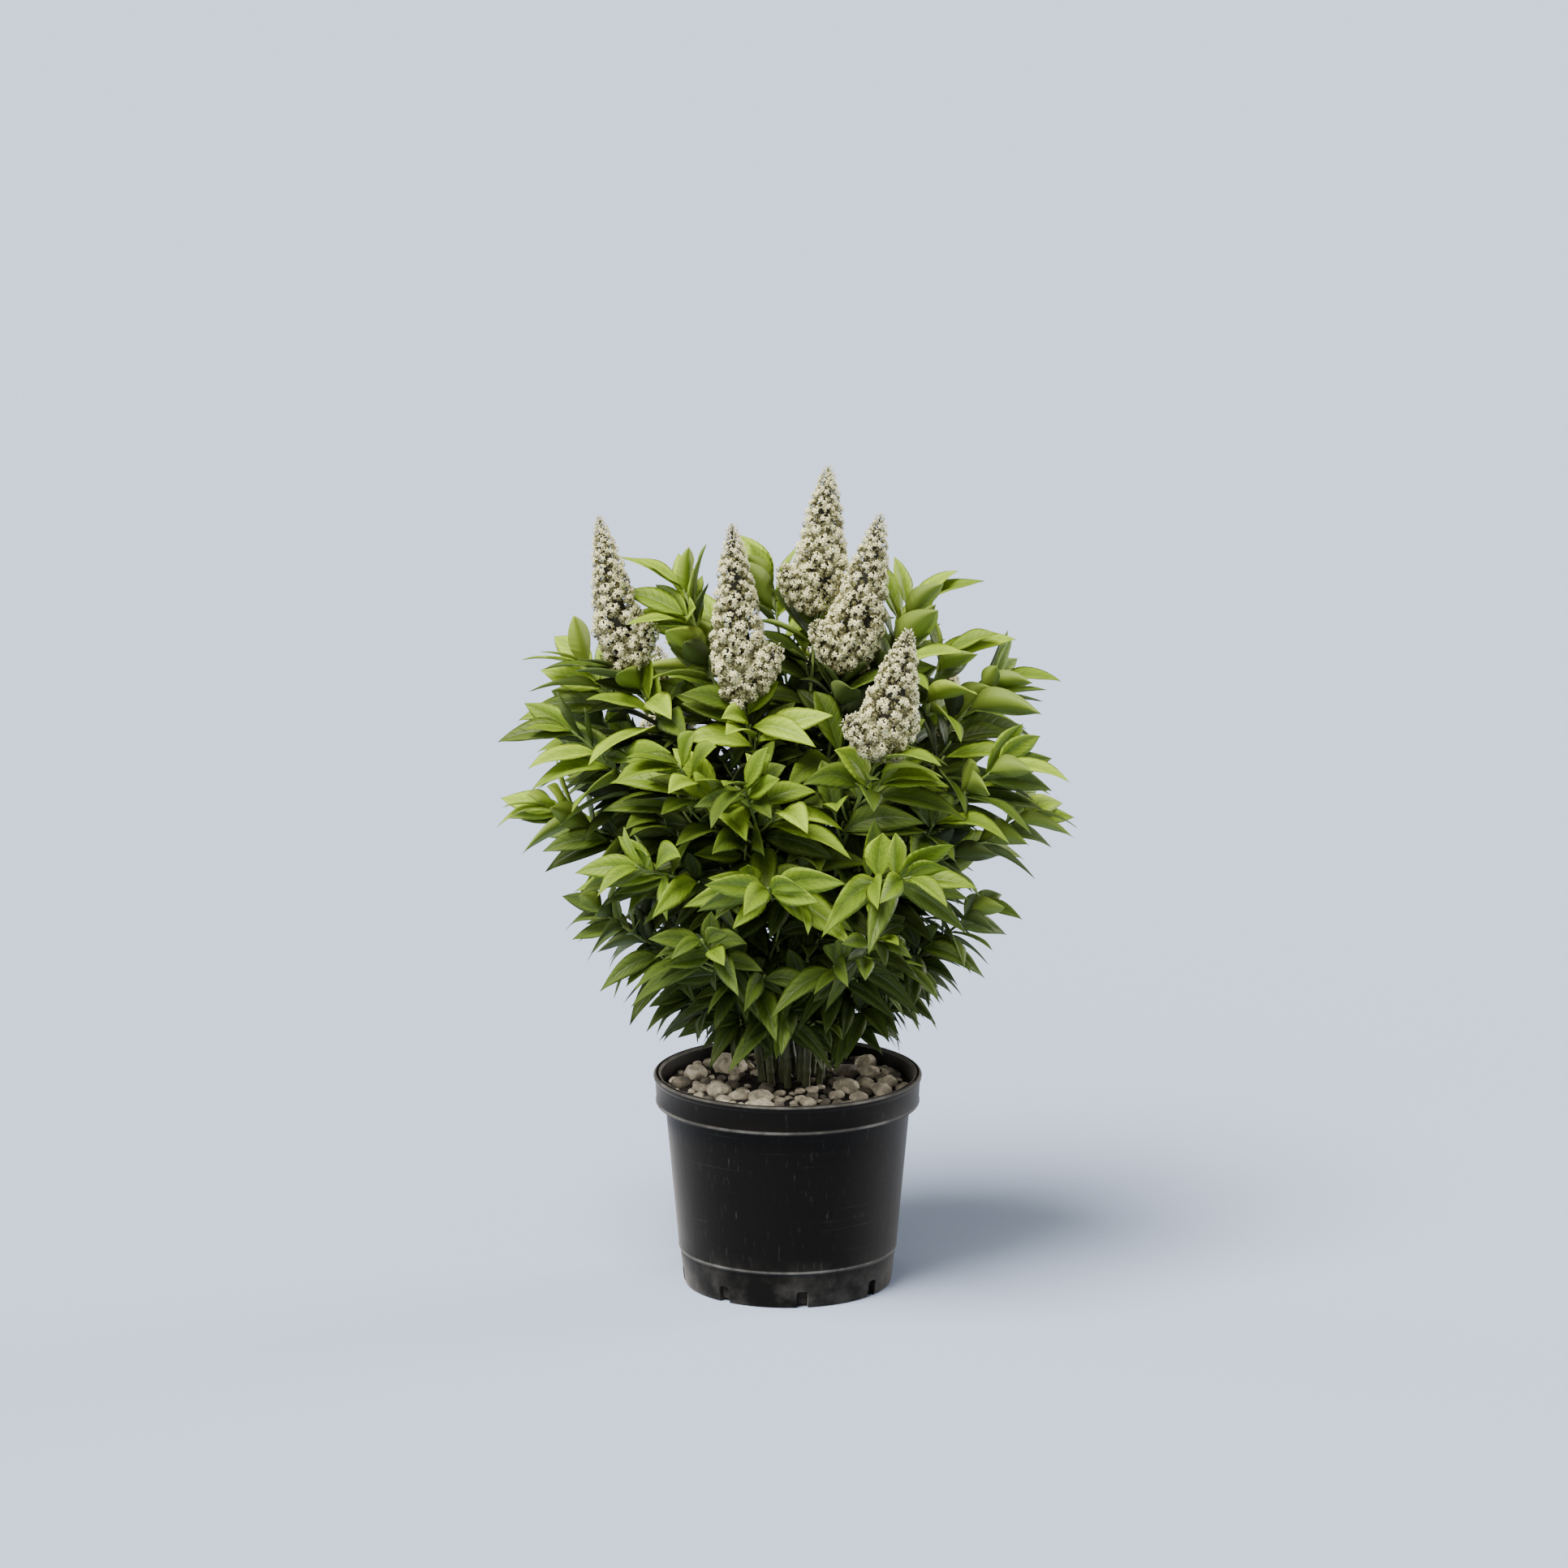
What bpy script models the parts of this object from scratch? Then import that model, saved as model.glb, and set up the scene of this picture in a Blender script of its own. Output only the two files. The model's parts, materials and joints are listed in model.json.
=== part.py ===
"""A potted cherry laurel in flower.

A black nursery pot of about ten litres holds soil, stones and a shrub of fourteen canes. Each cane ends in
a leafy mass of its own, two rings of lower masses grow from the canes' sides, and eight canes carry a
spike of cream blossom.

Metres, +Z up. The origin is the centre of the pot's flat underside, and the plant's front faces -Y.
"""

import math
import random
from collections import namedtuple
from itertools import chain

import bmesh
import bpy
from mathutils import Matrix, Quaternion, Vector
from mathutils.bvhtree import BVHTree

UP = Vector((0, 0, 1))
GAP = 0.0003  # left between neighbouring pieces
GOLDEN_ANGLE = math.radians(137.5)

# Pot
POT_HEIGHT = 0.225
RIM_RADIUS = 0.140
LIP_WIDTH = 0.008
LIP_ROUND = 0.0016
COLLAR_HEIGHT = 0.032
COLLAR_FOOT_RADIUS = 0.1366
BODY_TOP_RADIUS = 0.1275
GROOVE_HEIGHT = 0.036
GROOVE_RADIUS = 0.1125
GROOVE_DEPTH = 0.0014
FOOT_RADIUS = 0.1085
FOOT_ROUND = 0.0020
WALL = 0.0030
POT_STEPS = 36
SLOT_COUNT = 8
SLOT_WIDTH = 0.012
SLOT_HEIGHT = 0.018
SLOT_DEPTH = 0.018
SLOT_FIRST_ANGLE = math.radians(-37)

# Soil and stones
SOIL_HEIGHT = 0.213
SOIL_FLAT_RADIUS = 0.050
SOIL_EDGE_DROP = 0.004
SOIL_ROUGHNESS = 0.0025
SOIL_STEPS = 24
STONE_LENGTH = 1.12  # shares of its radius
STONE_WIDTH = 0.94
STONE_LIFT = 0.22
STONE_ROUGHNESS = 0.07
Stone = namedtuple("Stone", "across depth radius squash turn")
STONES = (
    Stone(-0.060, 0.052, 0.0175, 0.72, 0.4),
    Stone(-0.096, 0.026, 0.0130, 0.70, 1.3),
    Stone(-0.071, -0.040, 0.0125, 0.66, 2.2),
    Stone(-0.028, -0.066, 0.0120, 0.70, 0.9),
    Stone(0.062, -0.030, 0.0125, 0.74, 2.7),
    Stone(0.086, 0.030, 0.0110, 0.70, 0.2),
)

# Crown: radius of its outline at heights above the rim
CROWN_OUTLINE = (
    (0.00, 0.150),
    (0.07, 0.195),
    (0.19, 0.255),
    (0.27, 0.306),
    (0.36, 0.312),
    (0.46, 0.280),
    (0.54, 0.185),
    (0.60, 0.090),
)
CROWN_MIDDLE = POT_HEIGHT + 0.25
CROWN_SKIRT = 0.028  # no leaf hangs lower than this above the rim

# Canes: where each one's leading shoot ends, and the top of a twig beside it
Cane = namedtuple("Cane", "across depth rise beside")
CANES = {
    "left_flower": Cane(-0.166, 0.000, 0.428, (-0.212, 0.030, 0.432)),
    "middle_flower": Cane(-0.048, -0.060, 0.412, (-0.108, 0.018, 0.515)),
    "tall_flower": Cane(0.030, 0.030, 0.486, (-0.016, 0.070, 0.506)),
    "right_flower": Cane(0.060, 0.000, 0.430, (0.128, 0.035, 0.495)),
    "front_flower": Cane(0.095, -0.120, 0.368, (0.125, -0.185, 0.255)),
    "back_left_flower": Cane(-0.120, 0.150, 0.290, (-0.070, 0.118, 0.435)),
    "back_flower": Cane(0.020, 0.200, 0.280, (0.048, 0.135, 0.450)),
    "back_right_flower": Cane(0.155, 0.132, 0.285, (0.112, 0.100, 0.440)),
    "left": Cane(-0.222, -0.045, 0.375, (-0.248, -0.010, 0.288)),
    "back_left": Cane(-0.208, 0.092, 0.365, (-0.190, 0.150, 0.275)),
    "right": Cane(0.218, 0.030, 0.415, (0.162, 0.020, 0.442)),
    "front_right": Cane(0.222, -0.060, 0.345, (0.252, -0.005, 0.280)),
    "front_left": Cane(-0.112, -0.140, 0.362, (-0.155, -0.165, 0.262)),
    "front": Cane(-0.045, -0.170, 0.345, (-0.020, -0.210, 0.250)),
}
INNER_CANES = ("middle_flower", "tall_flower", "right_flower", "back_flower")
INNER_FOOT_RADIUS = 0.013
OUTER_FOOT_RADIUS = 0.031
CANE_MIDDLE = Vector((0.004, 0.008, 0))
CANE_LEAN = 0.16  # share of the reach that a cane has covered where it turns outwards
CANE_TURN = 0.64  # share of the height at which it turns
CANE_FOOT_THICKNESS = 0.0046
CANE_THICKNESS = 0.0034
CANE_FORK = 0.30  # share of the way to its tip where a cane enters its mass
FLARE_HEIGHT = 0.010
CANE_POINTS = 5
CANE_SIDES = 6
TWIG_THICKNESS = 0.0028
TWIG_TIP_THICKNESS = 0.0013
FLOWERING_TIP_THICKNESS = 0.0017

# Rings of masses that grow from the canes' sides
RING_STEM_RISE = 0.34  # share of its climb that a stem has made halfway out
Ring = namedtuple("Ring", "count first_turn radius rise leaves_cane droop")
RINGS = {
    "waist": Ring(7, math.radians(-64), 0.205, 0.190, 0.22, 0.35),
    "skirt": Ring(7, math.radians(-90), 0.130, 0.105, 0.13, 0.30),
}

# Leaves: lengths, droops and lowest pitches at heights above the rim
LEAF_LENGTHS = (
    (0.05, 0.060),
    (0.13, 0.076),
    (0.22, 0.106),
    (0.36, 0.122),
    (0.46, 0.114),
    (0.55, 0.098),
)
LEAF_DROOPS = ((0.03, 0.62), (0.15, 0.52), (0.30, 0.42), (0.42, 0.28), (0.52, 0.14))
LEAF_LOWEST_PITCHES = ((0.05, -0.20), (0.15, 0.10), (0.30, 0.22), (0.45, 0.36))
LEAF_WIDTH = 0.35  # share of its length
LEAF_THICKNESS = 0.021
LEAF_FOLD = 0.10
LEAF_SECTIONS = ((0.33, 1.0), (0.70, 0.74))
SMALL_LEAF = 0.103
SMALL_LEAF_SECTIONS = ((0.42, 1.0),)
LEAF_SPACING = 0.0312
RING_LEAF_SPACING = 0.0262
LEAF_OPEN = math.radians(68)
LEAF_CLOSED = math.radians(28)
LEAF_SIDEWAYS = 0.30  # how far leaves turn to the two sides of their twig
FRONT_REACH = 0.65  # share that a leaf keeps of its reach to the front or back
TIP_CROWDING = 1.3
LEAF_TIP_SHORTENING = 0.22
INWARD = 0.3  # a leaf that points further in than this is short or missing
INNER_LEAF_SIZE = 0.8
INNER_LEAVES_MISSING = 0.8
LIGHT_FROM_ABOVE = 0.4
LIGHT_FROM_OUTSIDE = 0.8
LEAF_ROLL = math.radians(24)
LIGHT_DEPTH = 0.07  # leaves turn their faces away from a line this far behind the pot's middle
LEAF_TRIES = tuple((size, math.radians(swing)) for size in (1.0, 0.84, 0.7) for swing in (0, 24, -24))
LEAF_CLEARANCE = 0.0009
STEM_POINTS = 5
TWIG_POINTS = 3
SIDE_TWIGS = ((0.28, 1), (0.50, -1), (0.70, 1))
RING_SIDE_TWIGS = 2
SIDE_TWIG_SWING = math.radians(52)
SIDE_TWIG_LENGTH = 0.48
SIDE_TWIG_CLIMB = 0.75
SIDE_TWIG_SAG = 0.10
SIDE_TWIG_THICKNESS = 0.78
BESIDE_FORK = 0.35  # share of the stem at which the twig beside it leaves
BESIDE_BOW = 0.012
STEM_BARE = 0.04  # shares of a twig below its first leaf
SIDE_TWIG_BARE = 0.30
BESIDE_BARE = 0.25

# Blossom
Spike = namedtuple("Spike", "lean tilt length half_width wing")
SPIKES = {
    "left_flower": Spike(-0.028, 0.000, 0.163, 0.030, 1),
    "middle_flower": Spike(-0.009, 0.000, 0.184, 0.034, 1),
    "tall_flower": Spike(0.012, 0.000, 0.151, 0.034, -1),
    "right_flower": Spike(0.036, 0.000, 0.163, 0.035, -1),
    "front_flower": Spike(0.028, -0.006, 0.131, 0.035, -1),
    "back_left_flower": Spike(-0.016, 0.030, 0.124, 0.033, 1),
    "back_flower": Spike(0.002, 0.036, 0.126, 0.035, -1),
    "back_right_flower": Spike(0.016, 0.026, 0.118, 0.033, -1),
}
SPIKE_STALK = 0.010
STALK_REACH = 0.4  # share of the spike's height that its stalk is buried in
SPIKE_TAPER = 0.62
CONE_SIDES = 8
CONE_RINGS = 8
CLUMP_PINCH = 0.74
WING_REACH = 1.30
WING_RISE = 0.27
WING_WIDTH = 0.68
WING_TAPER = 0.35
WING_SIDES = 6
WING_RINGS = 4
WING_FORWARD = 0.35

COLOURS = {
    "pot": ((0.012, 0.012, 0.012), 0.28),
    "soil": ((0.050, 0.036, 0.024), 0.95),
    "stone": ((0.330, 0.290, 0.230), 0.85),
    "cane": ((0.115, 0.140, 0.045), 0.70),
    "foliage": ((0.170, 0.300, 0.045), 0.45),
    "blossom": ((0.800, 0.770, 0.620), 0.70),
}


def between(table, value):
    """Reads a table of (place, amount) rows at a place between two of them."""
    if value <= table[0][0]:
        return table[0][1]
    for (low, first), (high, second) in zip(table, table[1:]):
        if value <= high:
            return first + (second - first) * (value - low) / (high - low)
    return table[-1][1]


def seeded(*key):
    """A random stream of its own for each named thing, so that leaving one out changes no other."""
    return random.Random(" ".join(str(word) for word in key))


def radial(angle):
    return Vector((math.cos(angle), math.sin(angle), 0))


def height_above_rim(point):
    return point.z - POT_HEIGHT


class Limb:
    """A tapering round limb along a curve of three points, or the part of it from one share to another."""

    def __init__(self, foot, turn, tip, thick, thin):
        self.foot, self.turn, self.tip = Vector(foot), Vector(turn), Vector(tip)
        self.thick, self.thin = thick, thin

    def at(self, share):
        rest = 1 - share
        return self.foot * rest**2 + self.turn * (2 * share * rest) + self.tip * share**2

    def heading(self, share):
        return ((self.turn - self.foot) * (1 - share) + (self.tip - self.turn) * share).normalized()

    def radius(self, share):
        return self.thick + (self.thin - self.thick) * share

    def length(self, first=0.0):
        steps = 12
        shares = [first + (1 - first) * step / steps for step in range(steps + 1)]
        return sum((self.at(b) - self.at(a)).length for a, b in zip(shares, shares[1:]))

    def rest_from(self, share):
        """The same curve from a share of its length on, as a limb of its own."""
        return Limb(self.at(share), self.turn.lerp(self.tip, share), self.tip, self.radius(share), self.thin)


# Scene helpers


def clear_scene():
    for thing in list(bpy.data.objects):
        bpy.data.objects.remove(thing)


def new_collection(name):
    made = bpy.data.collections.new(name)
    bpy.context.scene.collection.children.link(made)
    return made


def material(name):
    if name in bpy.data.materials:
        return bpy.data.materials[name]
    colour, roughness = COLOURS[name]
    made = bpy.data.materials.new(name)
    made.use_nodes = True
    shader = made.node_tree.nodes["Principled BSDF"]
    shader.inputs["Base Color"].default_value = (*colour, 1)
    shader.inputs["Roughness"].default_value = roughness
    shader.inputs["Metallic"].default_value = 0.0
    return made


def add_mesh(name, mesh, collection, finish):
    made = bpy.data.objects.new(name, mesh)
    collection.objects.link(made)
    mesh.materials.clear()
    mesh.materials.append(material(finish))
    return made


def mesh_of(form, name):
    mesh = bpy.data.meshes.new(name)
    form.to_mesh(mesh)
    form.free()
    return mesh


def as_mesh(thing):
    """The evaluated shape of an object as a new mesh, in world space and with its loose caps welded."""
    graph = bpy.context.evaluated_depsgraph_get()
    mesh = bpy.data.meshes.new_from_object(thing.evaluated_get(graph))
    mesh.transform(thing.matrix_world)
    form = bmesh.new()
    form.from_mesh(mesh)
    bmesh.ops.remove_doubles(form, verts=form.verts, dist=1e-6)
    bmesh.ops.recalc_face_normals(form, faces=form.faces)
    form.to_mesh(mesh)
    form.free()
    return mesh


def make_helper(thing):
    thing.hide_render = True
    thing.display_type = "WIRE"


def turned(name, profile, steps):
    """A mesh turned about Z from (radius, height) pairs, which close on themselves or on the axis."""
    form = bmesh.new()
    points = [form.verts.new((radius, 0, height)) for radius, height in profile]
    for first, second in zip(points, points[1:]):
        form.edges.new((first, second))
    shape = bpy.data.objects.new(name, mesh_of(form, name))
    helpers.objects.link(shape)
    screw = shape.modifiers.new("turn", "SCREW")
    screw.steps = screw.render_steps = steps
    screw.use_merge_vertices = True
    screw.merge_threshold = 0.00001
    mesh = as_mesh(shape)
    bpy.data.objects.remove(shape)
    return mesh


# Pot


def pot_profile():
    """Down the outside from the lip and across the flat underside, then up the inside to the lip again."""
    height = POT_HEIGHT
    collar_foot = height - COLLAR_HEIGHT
    inner_lip = RIM_RADIUS - LIP_WIDTH
    floor_radius = FOOT_RADIUS - WALL
    return (
        (inner_lip + LIP_ROUND, height),
        (RIM_RADIUS - LIP_ROUND, height),
        (RIM_RADIUS, height - LIP_ROUND),
        (COLLAR_FOOT_RADIUS, collar_foot + LIP_ROUND),
        (COLLAR_FOOT_RADIUS - LIP_ROUND, collar_foot),
        (BODY_TOP_RADIUS, collar_foot - LIP_ROUND),
        (GROOVE_RADIUS + GROOVE_DEPTH, GROOVE_HEIGHT + GROOVE_DEPTH),
        (GROOVE_RADIUS, GROOVE_HEIGHT),
        (FOOT_RADIUS, FOOT_ROUND),
        (FOOT_RADIUS - FOOT_ROUND, 0),
        (0, 0),
    ), (
        (0, WALL),
        (floor_radius, WALL),
        (GROOVE_RADIUS - WALL, GROOVE_HEIGHT),
        (BODY_TOP_RADIUS - WALL, collar_foot),
        (inner_lip, height - LIP_ROUND),
        (inner_lip + LIP_ROUND, height),
    )


def drain_slot(turn):
    """A cutter through the foot of the wall."""
    form = bmesh.new()
    bmesh.ops.create_cube(form, size=1)
    bmesh.ops.scale(form, vec=(SLOT_DEPTH, SLOT_WIDTH, SLOT_HEIGHT * 2), verts=form.verts)
    bmesh.ops.translate(form, vec=(FOOT_RADIUS, 0, 0), verts=form.verts)
    bmesh.ops.rotate(form, cent=(0, 0, 0), matrix=Matrix.Rotation(turn, 3, "Z"), verts=form.verts)
    return mesh_of(form, "slot")


def join_or_cut(base, others, operation, solver="EXACT"):
    """Joins a collection of objects to one, or cuts them from it, applies that, and removes them."""
    modifier = base.modifiers.new(operation, "BOOLEAN")
    modifier.operation = operation
    modifier.operand_type = "COLLECTION"
    modifier.collection = others
    modifier.solver = solver
    mesh = as_mesh(base)
    base.modifiers.clear()
    for other in list(others.objects):
        bpy.data.objects.remove(other)
    bpy.data.collections.remove(others)
    return mesh


def new_operands(name, meshes):
    """A hidden collection of objects for one Boolean."""
    group = bpy.data.collections.new(name)
    helpers.children.link(group)
    for index, mesh in enumerate(meshes):
        operand = bpy.data.objects.new(f"{name}_{index}", mesh)
        group.objects.link(operand)
        make_helper(operand)
    return group


def make_pot():
    outer, inner = pot_profile()
    shell = turned("pot", outer + inner, POT_STEPS)
    blank = add_mesh("pot_blank", shell, helpers, "pot")
    slots = [drain_slot(SLOT_FIRST_ANGLE + math.tau * i / SLOT_COUNT) for i in range(SLOT_COUNT)]
    mesh = join_or_cut(blank, new_operands("slots", slots), "DIFFERENCE")
    bpy.data.objects.remove(blank)
    pot = add_mesh("pot", mesh, plant, "pot")
    mesh.shade_smooth()
    mesh.set_sharp_from_angle(angle=math.radians(30))
    return pot


# Soil and stones


def inner_wall_radius(height):
    """The radius of the pot's inner wall, less the gap that the soil keeps to it."""
    _, inner = pot_profile()
    wall = [(z, radius) for radius, z in inner[1:5]]
    return between(wall, height) - GAP * 2


def stone_mesh(stone, index, spare=0.0):
    form = bmesh.new()
    bmesh.ops.create_icosphere(form, subdivisions=2, radius=1)
    draw = seeded("stone", index)
    for vert in form.verts:
        vert.co *= 1 + draw.uniform(-STONE_ROUGHNESS, STONE_ROUGHNESS)
    size = Vector((STONE_LENGTH, STONE_WIDTH, stone.squash)) * stone.radius
    bmesh.ops.scale(form, vec=size + Vector((spare, spare, spare)), verts=form.verts)
    place = Matrix.Translation((stone.across, stone.depth, SOIL_HEIGHT + stone.radius * STONE_LIFT))
    bmesh.ops.transform(form, matrix=place @ Matrix.Rotation(stone.turn, 4, "Z"), verts=form.verts)
    return mesh_of(form, "stone")


def make_soil():
    """The root ball: it fills the pot, is level where the canes stand and uneven round them."""
    top = SOIL_HEIGHT
    profile = (
        (0, top),
        (SOIL_FLAT_RADIUS, top),
        (0.080, top),
        (0.105, top),
        (inner_wall_radius(top - SOIL_EDGE_DROP), top - SOIL_EDGE_DROP),
        (inner_wall_radius(POT_HEIGHT - COLLAR_HEIGHT), POT_HEIGHT - COLLAR_HEIGHT),
        (inner_wall_radius(GROOVE_HEIGHT), GROOVE_HEIGHT),
        (inner_wall_radius(WALL) - GAP, WALL + GAP),
        (0, WALL + GAP),
    )
    block = turned("soil", profile, SOIL_STEPS)
    draw = seeded("soil")
    for vert in block.vertices:
        reach = math.hypot(vert.co.x, vert.co.y)
        if vert.co.z > top - 0.001 and reach > SOIL_FLAT_RADIUS + 0.01:
            vert.co.z += draw.uniform(-SOIL_ROUGHNESS, SOIL_ROUGHNESS)
    blank = add_mesh("soil_blank", block, helpers, "soil")
    pockets = [stone_mesh(stone, i, spare=GAP * 2) for i, stone in enumerate(STONES)]
    mesh = join_or_cut(blank, new_operands("pockets", pockets), "DIFFERENCE")
    bpy.data.objects.remove(blank)
    return add_mesh("soil", mesh, plant, "soil")


def make_stones():
    made = []
    for index, stone in enumerate(STONES):
        mesh = stone_mesh(stone, index)
        made.append(add_mesh(f"stone_{index + 1}", mesh, plant, "stone"))
    return made


# Limbs


def limb_curve(name, limb, first, last, count, sides):
    """A curve object for a limb between two shares. Three sides suit a twig, and eight a cane."""
    curve = bpy.data.curves.new(name, "CURVE")
    curve.dimensions = "3D"
    curve.use_fill_caps = True
    if sides == 3:
        curve.bevel_mode = "OBJECT"
        curve.bevel_object = triangle
    else:
        curve.bevel_depth = 1.0
        curve.bevel_resolution = (sides - 4) // 2
    spline = curve.splines.new("POLY")
    spline.points.add(count - 1)
    for index, point in enumerate(spline.points):
        share = first + (last - first) * index / (count - 1)
        point.co = (*limb.at(share), 1)
        point.radius = limb.radius(share)
    made = bpy.data.objects.new(name, curve)
    helpers.objects.link(made)
    return made


def limb_mesh(name, limb, first=0.0, last=1.0, count=4, sides=3):
    thing = limb_curve(name, limb, first, last, count, sides)
    mesh = as_mesh(thing)
    curve = thing.data
    bpy.data.objects.remove(thing)
    bpy.data.curves.remove(curve)
    return mesh


def make_triangle():
    """The section of a three-sided twig."""
    curve = bpy.data.curves.new("triangle", "CURVE")
    spline = curve.splines.new("POLY")
    spline.points.add(2)
    for index, point in enumerate(spline.points):
        point.co = (*radial(math.tau * index / 3), 1)
    spline.use_cyclic_u = True
    made = bpy.data.objects.new("triangle", curve)
    helpers.objects.link(made)
    make_helper(made)
    return made


def cane_feet():
    """The canes' feet: an inner and an outer ring, in the order in which their tips lie round the pot."""
    feet = {}
    outer = [name for name in CANES if name not in INNER_CANES]
    for names, radius in ((INNER_CANES, INNER_FOOT_RADIUS), (outer, OUTER_FOOT_RADIUS)):
        turns = {name: math.atan2(CANES[name].depth, CANES[name].across) for name in names}
        ordered = sorted(names, key=turns.get)
        first = turns[ordered[0]]
        for index, name in enumerate(ordered):
            even = first + math.tau * index / len(ordered)
            feet[name] = CANE_MIDDLE + radial(even) * radius + UP * (SOIL_HEIGHT + GAP)
    return feet


def cane_limbs():
    """Each cane's whole curve: it rises steeply from its foot and then arches out to its tip."""
    limbs = {}
    for name, foot in cane_feet().items():
        cane = CANES[name]
        tip = Vector((cane.across, cane.depth, POT_HEIGHT + cane.rise))
        reach = tip - foot
        turn = foot + Vector((reach.x * CANE_LEAN, reach.y * CANE_LEAN, reach.z * CANE_TURN))
        thin = FLOWERING_TIP_THICKNESS if name in SPIKES else TWIG_TIP_THICKNESS
        limbs[name] = Limb(foot, turn, tip, CANE_THICKNESS, thin)
    return limbs


def make_cane(name, limb):
    """A cane from its level cut at the soil, with a slight flare, to where it enters its mass."""
    flare = CANE_FOOT_THICKNESS / CANE_THICKNESS
    curve = limb_curve(f"cane_{name}", limb, 0.0, CANE_FORK, CANE_POINTS, CANE_SIDES)
    points = curve.data.splines[0].points
    points[0].radius *= flare
    foot, low, next_up = (Vector(point.co[:3]) for point in points[:3])
    points[1].co = (*(foot + UP * FLARE_HEIGHT), 1)
    points[2].co = (*low.lerp(next_up, 0.7), 1)
    mesh = as_mesh(curve)
    data = curve.data
    bpy.data.objects.remove(curve)
    bpy.data.curves.remove(data)
    mesh.shade_smooth()
    mesh.set_sharp_from_angle(angle=math.radians(50))
    return add_mesh(f"cane_{name}", mesh, plant, "cane")


# Masses


class Mass:
    """One stem with its twigs and leaves. A twig is a limb and the share of it at which its leaves start."""

    def __init__(self, name, stem, spacing, droop=1.0):
        self.name, self.stem, self.spacing, self.droop = name, stem, spacing, droop
        self.twigs = [(stem, STEM_BARE)]
        self.leaves = []


def add_side_twigs(mass, count):
    """Twigs that leave the stem on either side, swing out level and then rise."""
    stem = mass.stem
    for order, (share, side) in enumerate(SIDE_TWIGS[:count]):
        draw = seeded(mass.name, "twig", order)
        start = stem.at(share)
        out = Vector((stem.tip.x, stem.tip.y, 0)).normalized()
        swing = side * (SIDE_TWIG_SWING + draw.uniform(-0.2, 0.2))
        out.rotate(Quaternion(UP, swing))
        length = stem.length(share) * SIDE_TWIG_LENGTH * draw.uniform(0.9, 1.15)
        climb = stem.heading(share).z * SIDE_TWIG_CLIMB
        tip = start + (out * (1 - climb * 0.5) + UP * climb).normalized() * length
        turn = start.lerp(tip, 0.5) + (out - UP * 0.6) * (length * SIDE_TWIG_SAG)
        thick = stem.radius(share) * SIDE_TWIG_THICKNESS
        mass.twigs.append((Limb(start, turn, tip, thick, TWIG_TIP_THICKNESS), SIDE_TWIG_BARE))


def add_twig_beside(mass, place):
    """A leafy twig that rises next to the stem, to a stated top."""
    stem = mass.stem
    start = stem.at(BESIDE_FORK)
    tip = Vector(place) + UP * POT_HEIGHT
    turn = start.lerp(tip, 0.5) + (tip - stem.at(0.8)).normalized() * BESIDE_BOW
    thick = stem.radius(BESIDE_FORK) * SIDE_TWIG_THICKNESS
    mass.twigs.append((Limb(start, turn, tip, thick, TWIG_TIP_THICKNESS), BESIDE_BARE))


def clear_of(surface, along, heading, thickness):
    """How far along a direction a limb's centre starts, so that its tilted end stays a gap off a surface."""
    tilt = math.sqrt(max(0.0, 1 - along.dot(heading) ** 2))
    return surface + GAP + thickness * tilt


def cane_masses(limbs):
    masses = []
    for name, limb in limbs.items():
        start = CANE_FORK + GAP * 1.5 / limb.length()
        mass = Mass(name, limb.rest_from(start), LEAF_SPACING)
        add_side_twigs(mass, len(SIDE_TWIGS))
        if CANES[name].beside:
            add_twig_beside(mass, CANES[name].beside)
        masses.append(mass)
    return masses


def ring_masses(limbs):
    """The lower masses: each leaves the side of the cane whose foot lies nearest its own direction."""
    masses = []
    outer = [name for name in limbs if name not in INNER_CANES]
    for ring_name, ring in RINGS.items():
        for index in range(ring.count):
            out = radial(ring.first_turn + math.tau * index / ring.count)
            nearest = max(outer, key=lambda name: (limbs[name].foot - CANE_MIDDLE).dot(out))
            cane = limbs[nearest]
            heart, heading = cane.at(ring.leaves_cane), cane.heading(ring.leaves_cane)
            side = (out - heading * out.dot(heading)).normalized()
            tip = out * ring.radius + UP * (POT_HEIGHT + ring.rise)
            turn = heart + (tip - heart) * 0.5
            turn.z = heart.z + (tip.z - heart.z) * RING_STEM_RISE
            first = (turn - heart).normalized()
            start = heart + side * clear_of(cane.radius(ring.leaves_cane), side, first, TWIG_THICKNESS)
            stem = Limb(start, turn, tip, TWIG_THICKNESS, TWIG_TIP_THICKNESS)
            mass = Mass(f"{ring_name}_{index + 1}", stem, RING_LEAF_SPACING, 1 + ring.droop)
            add_side_twigs(mass, RING_SIDE_TWIGS)
            masses.append(mass)
    return masses


# Leaves

Leaf = namedtuple("Leaf", "mass root heading along face length droop")


def spine(leaf, share):
    """The midrib: straight out from the twig, then bent down by the leaf's own weight."""
    reach = leaf.length * share
    return leaf.root + leaf.along * reach - UP * (reach * leaf.droop * share)


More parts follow.
